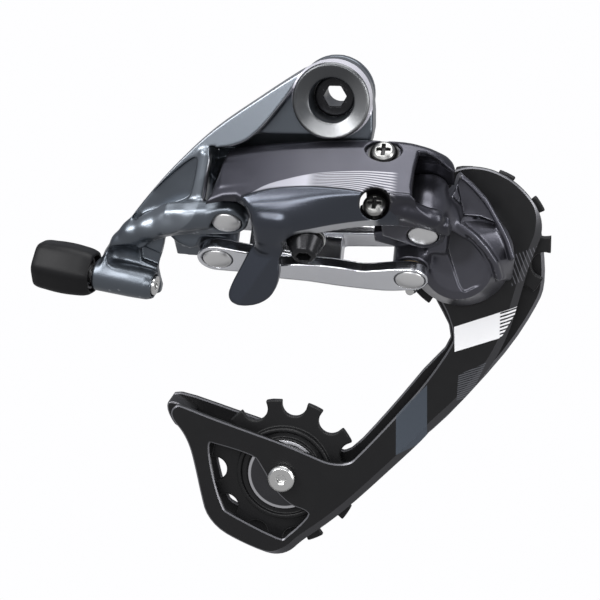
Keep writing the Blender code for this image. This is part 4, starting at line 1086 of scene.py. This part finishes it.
def cut_p_knuckle(field):
    cavity = [(0, -0.8), (4.9, -0.8), (4.9, 8.0), (6.0, 8.0), (6.0, 0.4), (9.4, 0.4), (9.4, 13.0),
              (12.2, 13.0), (12.2, 20.0), (0, 20.0)]
    field.cut(spun(CAGE, cavity))
    field.cut(disc(FRONT, 3.95, 0, 30))
    field.cut(disc(FRONT, 7.3, -12, 5.35))
    field.cut(disc(FRONT, 9.8, 19.45, 40))
    field.cut(disc(FRONT, 3.95, -6, 9.5, tuple(PIN_OFFSET)))
    field.cut(disc(FRONT, 6.1, -12, 0.1, tuple(PIN_OFFSET)))
    field.cut(disc(FRONT, 5.75, 9.5, 14.6, tuple(PIN_OFFSET)))


def p_knuckle_paint():
    paint = KNUCKLE
    radius = paint.radius(CAGE)
    # Painted shade: the pockets are painted near black where they lie more than half a millimetre under the uncut
    # surface.
    paint.blend(paint.attribute("well").step(0.5, 2.0) * 0.8, (0.018, 0.018, 0.022), 0.45, 0.6)
    # Painted highlight: a bright ring is painted round the outer edge of the cup's inboard end.
    rim = paint.along(Y, HANGER).step(10.6, 10.9) * radius.step(15.3, 15.6)
    paint.blend(rim * 0.9, (0.60, 0.61, 0.64), 0.22, 1.0)
    return paint.done()


make_p_knuckle()


# ---------------------------------------------------------------- small pieces

BODY_OF = {node: body for body, nodes in frame["record"]["behaviour"]["bodies"].items() for node in nodes}
SLOT_OF = {node: frame["nodes"][node].data.materials[0].name for node in frame["nodes"]}


def small(node, material, axes, low, high, cell, adds, cuts):
    """A fine mesh of joined and cut shapes that stands for one CAD node."""
    field = Field(axes, low, high, cell * COARSE)
    for shape in adds:
        field.add(shape, 0.15)
    for shape in cuts:
        field.cut(shape, 0.12)
    return piece_from(field, node, BODY_OF[node], SLOT_OF[node], material)


def spin(node, axes, profile, material, centre=(0, 0)):
    return turned_piece(node, axes, profile, BODY_OF[node], SLOT_OF[node], material, centre)


def washer(node, axes, inner, outer, low, high, material, centre=(0, 0)):
    profile = [(inner, low), (outer, low), (outer, high), (inner, high)]
    return spin(node, axes, profile, material, centre)


def spring(node, axes, radius, wire, low, turns, pitch):
    coil_piece(node, axes, radius, wire, low, turns, pitch, BODY_OF[node], SLOT_OF[node], SPRING)


def socket_screw(node, axes, head_r, head_low, shaft_r, tip, flats, material):
    way = 1 if tip > head_low else -1
    profile = [(0, head_low), (head_r - 0.7, head_low), (head_r, head_low + way * 0.7),
               (head_r, head_low + way * 2.6), (shaft_r, head_low + way * 2.6), (shaft_r, tip), (0, tip)]
    low, high = sorted((head_low - way * 3, head_low + way * 1.8))
    ends = sorted((head_low, tip))
    wide = head_r + 1
    small(node, material, axes, (-wide, -wide, ends[0] - 1), (wide, wide, ends[1] + 1), 0.17,
          [spun(axes, profile)], [prism(axes, hexagon(flats), low, high)])


def hanger_pieces():
    bolt = [(3.9, 6.5), (4.3, 6.5), (4.9, 5.7), (4.9, -2.0), (5.0, -2.0), (5.0, -6.4), (6.1, -6.4),
            (6.1, -8.8), (5.6, -9.2), (2.6, -9.2), (2.6, -6.4), (3.9, -5.4)]
    small("hanger_bolt", BLACK_STEEL, SIDE, (-7, -7, -10), (7, 7, 7.5), 0.2, [spun(SIDE, bolt)],
          [prism(SIDE, hexagon(6.0), -11.5, -5.9)])
    washer("hanger_bushing", SIDE, 5.35, 7.1, -4.8, -2.2, BRONZE)
    washer("hanger_retaining_ring", SIDE, 5.35, 7.1, -6.05, -5.15, SPRING)
    plate = arc((0, 0), 10.6, -30, 240, 30) + [(-6.5, -14.0), (-5.0, -17.0), (5.0, -17.0), (9.5, -15.0)]
    tab = [(-6.2, -13.5), (-3.8, -13.5), (-3.8, -16.8), (-6.2, -16.8)]
    small("b_stop_plate", BLACK_STEEL, SIDE, (-12, -18, -7.5), (12, 12, 1), 0.25,
          [prism(SIDE, plate, -1.8, 0.0, 0.2), prism(SIDE, tab, -6.5, -0.5, 0.2)], [disc(SIDE, 5.3, -3, 1)])
    socket_screw("b_tension_screw", B_SCREW, 2.9, -17.5, 1.6, 0.2, 2.5, BLACK_STEEL)


def knob_pieces():
    def moulded(u, v, w):
        radius = eased(w, [(-1, 5.8), (0.0, 6.6), (1.4, 7.3), (5.0, 7.8), (14.0, 7.8), (17.4, 7.3),
                           (19.0, 6.7)])
        facets = [u * math.cos(t) + v * math.sin(t) for t in np.radians(np.arange(0, 360, 60))]
        flat = facets[0]
        for facet in facets[1:]:
            flat = soft_max(flat, facet, 0.6)
        across = soft_max(np.hypot(u, v) - radius, flat - radius * 0.93, 0.4)
        return rounded(across, np.abs(w - 9.8) - 9.2, 0.6)

    shape = Shape(KNOB, (-8, -8, 0), (8, 8, 19), moulded)
    small("barrel_adjuster", RUBBER, KNOB, (-9, -9, -1), (9, 9, 20), 0.25, [shape],
          [disc(KNOB, 3.3, -1, 25), disc(KNOB, 5.6, 11.0, 25), disc(KNOB, 3.6, -1, 2.0)])
    washer("adjuster_stem", KNOB, 1.3, 2.95, 2.6, 38.9, ZINC)
    spring("adjuster_spring", KNOB, 4.5, 0.5, 12.0, 3.5, 1.7)


def pin(node, axes, low, high, centre=(0, 0)):
    dome = [(4.4 * math.sin(t), low + 0.35 - 1.35 * math.cos(t)) for t in np.radians(np.arange(0, 91, 10))]
    head = [(4.4, low + 0.8), (2.6, low + 0.8), (2.6, high + 0.35), (3.5, high + 0.35), (3.0, high + 1.1),
            (0, high + 1.3)]
    spin(node, axes, dome + head, PEARL, centre)


def pin_pieces():
    far, inner = tuple(LINK_VECTOR), tuple(PIN_OFFSET)
    pin("rear_outer_pin", LINK, 0.8, 25.5)
    pin("rear_inner_pin", INNER, -1.5, 17.2)
    pin("front_outer_pin", LINK, 0.8, 22.0, far)
    pin("front_inner_pin", INNER, -4.5, 13.2, far)
    washer("rear_outer_bush", LINK, 2.9, 3.6, 6.3, 14.2, BRONZE)
    washer("rear_inner_bush", INNER, 2.9, 3.6, 3.2, 13.2, BRONZE)
    washer("front_outer_bush", FRONT, 2.9, 3.6, 5.8, 19.0, BRONZE)
    washer("front_inner_bush", FRONT, 2.9, 3.6, 0.6, 8.9, BRONZE, inner)
    spring("return_spring", LINK, 4.3, 0.6, 15.6, 2.5, 1.5)


def screw_paint(name, axes):
    """Worn zinc, with painted shade on the floor of the cross slots."""
    paint = plain_finish(name, (0.32, 0.32, 0.31), 0.34, 1.0, None, 0.008)
    depth = paint.along(axes.turn[2], axes.origin)
    across = [paint.along(way, axes.origin).math("POWER", 2.0) for way in axes.turn[:2]]
    # Painted shade: the floor of the cross slots is painted near black.
    slot_shade = depth.step(0.55, 0.85) * (across[0] + across[1]).step(4.8, 5.6).inverse()
    return paint.blend(slot_shade, (0.015, 0.015, 0.015), 0.5, 0.2).done()


def limit_screw(node, axes, length):
    profile = [(0, 0.05), (1.6, 0.12), (2.6, 0.35), (3.3, 0.95), (3.5, 1.5), (3.5, 2.2), (1.7, 2.2),
               (1.7, length), (0, length)]
    cross = [prism(axes, [(-2.1 * c - 0.55 * s, -2.1 * s - 0.55 * c), (2.1 * c - 0.55 * s, 2.1 * s - 0.55 * c),
                          (2.1 * c + 0.55 * s, 2.1 * s + 0.55 * c), (-2.1 * c + 0.55 * s, -2.1 * s + 0.55 * c)],
                   -1, 1.5) for c, s in ((1, 0), (0, 1))]
    small(node, screw_paint(node, axes), axes, (-4.2, -4.2, -0.8), (4.2, 4.2, length + 0.8), 0.11,
          [spun(axes, profile)], cross)


def clamp_pieces():
    clamp = Axes(LINK.out((*CLAMP_AT, 0)), X, ACROSS, ALONG)
    bolt = [(0, -9.2), (3.0, -9.2), (3.6, -8.6), (5.6, -4.2), (5.6, -3.4), (1.9, -3.4), (1.9, 2.6), (0, 2.6)]
    small("cable_pinch_bolt", BLACK_STEEL, clamp, (-6.5, -6.5, -10), (6.5, 6.5, 3.5), 0.18, [spun(clamp, bolt)],
          [prism(clamp, hexagon(4.0), -11, -6.5)])
    washer("cable_clamp_washer", clamp, 2.25, 6.0, -3.05, -2.05, ZINC)
    limit_screw("low_limit_screw", LOW_SCREW, 15.0)
    limit_screw("high_limit_screw", HIGH_SCREW, 9.0)


hanger_pieces()
knob_pieces()
pin_pieces()
clamp_pieces()


# ---------------------------------------------------------------- cage and pulleys

OUTER_EDGE = [(31.0, -68.7), (33.2, -73.6), (34.3, -78.0), (33.6, -82.0), (25.9, -94.0), (16.3, -105.9),
              (5.2, -118.5), (1.4, -121.6), (-4.4, -121.8), (-10.2, -119.7), (-19.3, -116.1), (-28.5, -113.0),
              (-42.3, -108.4), (-50.4, -105.4), (-53.4, -104.7), (-55.3, -106.5), (-54.9, -109.4),
              (-51.8, -113.6), (-49.5, -118.6), (-47.7, -126.0), (-46.0, -134.3), (-44.2, -140.6),
              (-40.0, -145.7), (-33.3, -149.5), (-25.2, -152.7), (-20.8, -153.2), (-17.0, -151.8),
              (-13.0, -148.2), (-4.9, -142.0), (3.7, -134.4), (15.0, -123.2), (24.4, -113.6), (28.8, -108.4),
              (37.6, -99.4), (44.2, -90.8), (48.6, -83.6), (52.0, -75.4), (54.2, -67.6), (57.0, -57.0),
              (59.3, -50.2), (60.9, -45.4), (60.8, -41.2), (59.4, -37.4), (57.3, -34.2), (54.3, -31.0),
              (50.9, -28.4), (46.9, -26.4), (43.0, -25.3), (38.4, -25.0), (34.4, -26.0), (30.0, -28.4),
              (25.5, -34.0), (23.2, -42.0), (23.0, -52.0), (26.0, -61.0)]
INNER_EDGE = [(28.0, -70.0), (32.7, -81.8), (24.2, -92.8), (13.1, -106.9), (1.3, -120.0), (-5.0, -119.5),
              (-19.0, -114.5), (-36.5, -108.8), (-54.0, -103.6), (-57.3, -106.4), (-54.5, -112.0),
              (-50.0, -120.0), (-45.5, -137.0), (-40.0, -146.0), (-24.0, -153.3), (-18.0, -152.3),
              (-2.0, -140.0), (18.0, -121.0), (32.0, -108.0), (49.9, -86.5), (59.4, -70.9), (61.8, -63.0),
              (61.2, -52.0), (59.2, -43.0), (53.8, -34.6), (46.0, -29.8), (37.0, -28.8), (29.0, -32.0),
              (22.8, -39.5), (21.2, -50.0), (23.5, -61.0)]
WINDOW = [(-43.2, -117.6), (-40.5, -117.2), (-29.6, -120.4), (-26.6, -123.6), (-22.0, -131.4),
          (-17.0, -136.2), (-12.4, -138.0), (-11.6, -140.2), (-18.0, -146.8), (-21.4, -147.6),
          (-35.9, -140.6), (-39.1, -137.5), (-42.0, -127.4)]
PIN_SPOT = (21.1, -63.4)
WHITE_PATCH = [(34.9, -83.6), (49.3, -78.5), (54.8, -68.2), (34.6, -75.6)]
SLATE_PATCH = [(16.8, -118.1), (26.6, -113.0), (26.4, -94.7), (16.7, -104.9)]
LOWER_PATCH = [(35.7, -99.4), (40.0, -98.0), (44.8, -86.7), (36.2, -91.0)]
UPPER_PATCH = [(52.1, -61.9), (55.6, -60.2), (59.9, -49.1), (52.9, -51.9)]


def resampled(points, spacing):
    """The closed outline with evenly spaced points."""
    points = np.array(points, float)
    ring = np.vstack([points, points[:1]])
    steps = np.concatenate([[0], np.cumsum(np.linalg.norm(np.diff(ring, axis=0), axis=1))])
    at = np.linspace(0, steps[-1], int(steps[-1] / spacing), endpoint=False)
    return np.column_stack([np.interp(at, steps, ring[:, i]) for i in range(2)])


def facing(outline):
    """Outward unit normals of an anticlockwise outline."""
    along = np.roll(outline, -2, 0) - np.roll(outline, 2, 0)
    return np.column_stack([along[:, 1], -along[:, 0]]) / np.linalg.norm(along, axis=1)[:, None]


def signed_area(outline):
    x, y = np.asarray(outline, float).T
    return 0.5 * float(x @ np.roll(y, -1) - y @ np.roll(x, -1))


def smoothed(values, rounds):
    for _ in range(rounds):
        values = (np.roll(values, 1) + values * 2 + np.roll(values, -1)) / 4
    return values


def plate_piece(node, low, high, outline, holes, wide, material):
    """A stamped plate: a bevel that widens towards the front lower edge, and bevelled openings."""
    loops = []
    for i, points in enumerate([outline] + holes):
        ring = resampled(points, 0.7 if i == 0 else 0.5)
        if signed_area(ring) < 0:
            ring = ring[::-1]
        normal = facing(ring)
        width = np.full(len(ring), 0.45)
        if i == 0:
            width = smoothed(0.45 + wide * ramp(normal @ (0.81, -0.59), 0.35, 0.85), 14)
        way = -1 if i == 0 else 1
        drop = 0.35 + 0.16 * (width - 0.45)
        loops.append([np.column_stack([ring + normal * (way * width)[:, None], np.full(len(ring), low)]),
                      np.column_stack([ring, low + drop]),
                      np.column_stack([ring, np.full(len(ring), high - 0.3)]),
                      np.column_stack([ring + normal * way * 0.3, np.full(len(ring), high)])])
    points, faces, start = [], [], []
    for rings in loops:
        count = len(rings[0])
        start.append((len(points), count))
        for level in range(3):
            a = len(points) + level * count
            faces += [(a + k, a + (k + 1) % count, a + count + (k + 1) % count, a + count + k)
                      for k in range(count)]
        for ring in rings:
            points += ring.tolist()
    faces += cap(points, [(s, n) for s, n in start]) + cap(points, [(s + 3 * n, n) for s, n in start])
    piece = make_piece(node + "_fine", BODY_OF[node], SLOT_OF[node], material, SIDE.out(points), faces)
    outward(piece)
    piece.data.set_sharp_from_angle(angle=math.radians(9))
    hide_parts(node)
    return piece


def cap(points, rings):
    """Triangles over the first loop and round the other loops."""
    index = [s + k for s, n in rings for k in range(n)]
    flat = [Vector(points[i][:2]) for i in index]
    edges, base = [], 0
    for s, n in rings:
        edges += [(base + k, base + (k + 1) % n) for k in range(n)]
        base += n
    spots, _, triangles, origin, _, _ = delaunay_2d_cdt(flat, edges, [], 0, 1e-6)
    outlines, base = [], 0
    for s, n in rings:
        outlines.append([tuple(p) for p in flat[base : base + n]])
        base += n
    centre = np.array([sum((spots[i] for i in t), Vector((0, 0))) / 3 for t in triangles])
    keep = polygon_distance(outlines[0], centre[:, 0], centre[:, 1]) < 0
    for hole in outlines[1:]:
        keep &= polygon_distance(hole, centre[:, 0], centre[:, 1]) > 0
    return [tuple(index[origin[i][0]] for i in t) for t, k in zip(triangles, keep) if k]


def cage_paint(name):
    paint = Paint(name, (0.005, 0.005, 0.0055), 0.38, 0.0).mottled(0.35, 0.12).grain(3.0, 0.005)
    normal = paint.node("ShaderNodeNewGeometry").outputs["True Normal"]
    tilt = Number(paint.tree, paint.vector("DOT_PRODUCT", normal, tuple(Y))).math("ABSOLUTE")
    # Painted highlight: the bevels, tilted between the flat faces and the side walls, are painted a lighter grey.
    paint.blend(tilt.step(0.90, 0.985).inverse() * tilt.step(0.15, 0.30), (0.13, 0.13, 0.14), 0.30, 0.5)
    return paint.set(Specular_IOR_Level=0.28)


def quad_mask(paint, corners):
    """1 inside a flat four-sided patch, seen from the side."""
    mask = None
    for a, b in zip(corners, corners[1:] + corners[:1]):
        a, b = np.array(a, float), np.array(b, float)
        inward = np.array((a[1] - b[1], b[0] - a[0])) / np.linalg.norm(b - a)
        direction = X * inward[0] + Z * inward[1]
        edge = paint.along(direction, HANGER + X * a[0] + Z * a[1]).step(-0.08, 0.08)
        mask = edge if mask is None else mask * edge
    return mask


def cage_pieces():
    paint = cage_paint("cage_black")
    centre = tuple(CAGE_XZ)
    tail = tuple(SIDE.into(TENSION.origin)[:2])
    guide = tuple(SIDE.into(GUIDE.origin)[:2])
    pin_hole = arc(PIN_SPOT, 1.7, 0, 345, 23)
    outer_holes = [arc(centre, 8.9, 0, 354, 59), loop(WINDOW, 3), arc(tail, 2.8, 0, 345, 23), pin_hole]
    plate_piece("outer_cage_plate", 15.0, 17.0, loop(OUTER_EDGE, 3), outer_holes, 1.7, outer_cage_paint(paint))
    inner_holes = [loop(WINDOW, 3), arc(tail, 2.8, 0, 345, 23), arc(guide, 2.8, 0, 345, 23)]
    inner = cage_paint("cage_black_inner").done()
    plate = plate_piece("inner_cage_plate", 26.0, 27.8, loop(INNER_EDGE, 3), inner_holes, 0.6, inner)
    strut = [(-57.0, -104.6), (-53.8, -104.5), (-49.0, -107.6), (-49.0, -109.4), (-53.5, -112.6),
             (-56.6, -108.5)]
    field = Field(SIDE, (-59, -115, 16.5), (-47, -102, 28.2), 0.28 * COARSE)
    field.add(prism(SIDE, loop(strut, 3), 17.4, 26.2, 0.6))
    tab = make_piece("cage_tail_tab", "cage", SLOT_OF["inner_cage_plate"], inner, *field.surface())
    spin("cage_stop_pin", SIDE, [(0, 10.0), (1.1, 10.0), (1.4, 10.3), (1.4, 17.6), (0, 17.6)], ZINC, PIN_SPOT)
    axle = [(0, -0.3), (2.9, -0.3), (3.2, 0.1), (3.2, 15.0), (8.5, 15.0), (8.5, 17.2), (0, 17.2)]
    small("cage_axle", BLACK_STEEL, CAGE, (-9.5, -9.5, -1.3), (9.5, 9.5, 18.2), 0.25, [spun(CAGE, axle)],
          [disc(CAGE, 2.8, 15.4, 20, (guide[0] - centre[0], guide[1] - centre[1]))])
    spring("cage_spring", CAGE, 7.7, 0.9, 1.6, 4.5, 2.1)
    washer("cage_seal", CAGE, 9.9, 11.8, 13.3, 14.75, SEAL)
    washer("cage_bush", CAGE, 3.5, 4.6, -0.4, 7.6, BRONZE)
    return tab, plate


def outer_cage_paint(paint):
    white, slate = (0.82, 0.82, 0.83), (0.045, 0.055, 0.07)
    lines = paint.along(X * -0.33 + Z * 0.944, HANGER)
    hatch = (lines * 0.95).math("FRACT").step(0.42, 0.52)
    cut = paint.along(X, HANGER).step(48.6, 49.0)
    patch = quad_mask(paint, WHITE_PATCH) * (cut.inverse() + cut * hatch).math("MINIMUM", 1.0)
    paint.blend(patch * 0.95, white, 0.4, 0.0)
    paint.blend(quad_mask(paint, SLATE_PATCH) * 0.9, slate, 0.42, 0.0)
    fine = (lines * 1.5).math("FRACT").step(0.35, 0.5)
    paint.blend(quad_mask(paint, LOWER_PATCH) * fine * 0.5, (0.12, 0.125, 0.14), 0.42, 0.0)
    slant = (paint.along(X * 0.93 + Z * 0.36, HANGER) * 0.9).math("FRACT").step(0.72, 0.82)
    paint.blend(quad_mask(paint, UPPER_PATCH) * slant * 0.6, (0.16, 0.16, 0.18), 0.42, 0.0)
    return paint.done()


TEETH = 11
PITCH_R = 12.7 / 2 / math.sin(math.pi / TEETH)
TIP_R = PITCH_R + 1.7


def tooth_outline():
    points = []
    for i in range(TEETH):
        middle = 2 * math.pi / TEETH * i
        for turn in np.linspace(-0.115, 0.115, 5):
            points.append((TIP_R * math.cos(middle + turn), TIP_R * math.sin(middle + turn)))
        gap = middle + math.pi / TEETH
        centre = ((PITCH_R + 0.3) * math.cos(gap), (PITCH_R + 0.3) * math.sin(gap))
        points += arc(centre, 4.0, math.degrees(gap) + 268, math.degrees(gap) + 92, 12)
    return points


def cap_paint(name, axes):
    """A dark pressed cap with a bright outer ring."""
    paint = plain_finish(name, (0.030, 0.030, 0.033), 0.36, 0.6, None, 0.006)
    ring = paint.radius(axes).step(10.4, 10.7)
    return paint.blend(ring, (0.55, 0.55, 0.57), 0.28, 1.0).done()


def pulley(name, axes):
    """Toothed wheel with a thinner toothed rim, ring grooves and recesses for its dust caps."""
    adds = [prism(axes, tooth_outline(), -1.1, 1.1, 0.35), disc(axes, 15.2, -2.9, 2.9, rounding=0.4)]
    cuts = [disc(axes, 5.0, -5, 5)]
    for low, high in ((-5.0, -2.1), (2.1, 5.0)):
        ring = [(11.9, low), (13.8, low), (13.8, high), (11.9, high)]
        cuts += [spun(axes, ring), disc(axes, 9.5, low, high)]
    small(name, PULLEY, axes, (-24, -24, -4), (24, 24, 4), 0.33, adds, cuts)
    washer(name + "_bush", axes, 2.85, 4.65, -4.0, 4.0, BRONZE)
    finish = cap_paint(name + "_caps", axes)
    for way, face in ((-1, "outer"), (1, "inner")):
        low, high = sorted((way * 3.25, way * 3.9))
        washer(f"{name}_{face}_cap", axes, 5.0, 11.4, low, high, finish)


cage_pieces()
pulley("guide_pulley", GUIDE)
pulley("tension_pulley", TENSION)
socket_screw("tension_pulley_bolt", TENSION, 4.3, -9.4, 2.5, 5.8, 3.0, ZINC)
socket_screw("guide_pulley_bolt", GUIDE, 4.3, 9.2, 2.5, -5.8, 3.0, ZINC)


# ---------------------------------------------------------------- stage, light and camera


def floor():
    drop = float(cad_box[0][2]) - 0.06
    mesh = bpy.data.meshes.new("floor")
    mesh.from_pydata([(-9, -9, drop), (9, -9, drop), (9, 9, drop), (-9, 9, drop)], [], [(0, 1, 2, 3)])
    material = bpy.data.materials.new("pale_floor")
    material.use_nodes = True
    nodes, links = material.node_tree.nodes, material.node_tree.links
    glow, dim, paths, mix = (nodes.new(k) for k in ("ShaderNodeEmission", "ShaderNodeEmission",
                                                    "ShaderNodeLightPath", "ShaderNodeMixShader"))
    glow.inputs["Color"].default_value = (0.99, 0.99, 1.0, 1)
    dim.inputs["Color"].default_value = (0.5, 0.5, 0.51, 1)
    links.new(paths.outputs["Is Camera Ray"], mix.inputs[0])
    links.new(dim.outputs[0], mix.inputs[1])
    links.new(glow.outputs[0], mix.inputs[2])
    links.new(mix.outputs[0], nodes["Material Output"].inputs["Surface"])
    mesh.materials.append(material)
    plane = bpy.data.objects.new("floor", mesh)
    bpy.context.scene.collection.objects.link(plane)


def softbox(name, place, aim, size, power, tall=None):
    light = bpy.data.lights.new(name, "AREA")
    light.shape = "RECTANGLE"
    light.size, light.size_y = size, tall or size
    light.energy = power
    box = bpy.data.objects.new(name, light)
    box.location = place
    box.rotation_euler = (Vector(aim) - Vector(place)).to_track_quat("-Z", "Y").to_euler()
    bpy.context.scene.collection.objects.link(box)


def lights():
    world = bpy.data.worlds.new("studio")
    bpy.context.scene.world = world
    world.use_nodes = True
    world.node_tree.nodes["Background"].inputs["Color"].default_value = (0.30, 0.31, 0.34, 1)
    middle = (0.0, 0.0, -0.08)
    softbox("key", (-0.55, -0.55, 0.55), middle, 0.5, 9.0)
    softbox("top", (0.1, 0.0, 0.7), middle, 0.7, 8.0)
    softbox("right", (0.75, -0.35, 0.1), middle, 0.25, 4.0, 0.7)
    softbox("front", (0.0, -1.1, 0.35), middle, 0.8, 7.0, 0.3)


AZIMUTH, ELEVATION = math.radians(8.0), math.radians(14.0)
DISTANCE = 0.732                              # from the lens to the hanger bolt, in metres
HANGER_RIGHT, HANGER_UP = 0.01584, 0.08543    # where that bolt sits off the lens axis, per unit of distance
LENS, SENSOR = 146.58, 36.0


def camera():
    back = Vector((math.sin(AZIMUTH) * math.cos(ELEVATION), -math.cos(AZIMUTH) * math.cos(ELEVATION),
                   math.sin(ELEVATION)))
    right = Vector((math.cos(AZIMUTH), math.sin(AZIMUTH), 0))
    up = back.cross(right)
    ray = -back + right * HANGER_RIGHT + up * HANGER_UP
    data = bpy.data.cameras.new("photo_view")
    data.lens, data.sensor_width, data.clip_start = LENS, SENSOR, 0.01
    eye = bpy.data.objects.new("photo_view", data)
    place = Vector(HANGER * MM) - ray * DISTANCE
    eye.matrix_world = Matrix.Translation(place) @ Matrix((right, up, back)).transposed().to_4x4()
    bpy.context.scene.collection.objects.link(eye)
    bpy.context.scene.camera = eye


floor()
lights()
camera()
bpy.context.scene.view_settings.view_transform = "Standard"
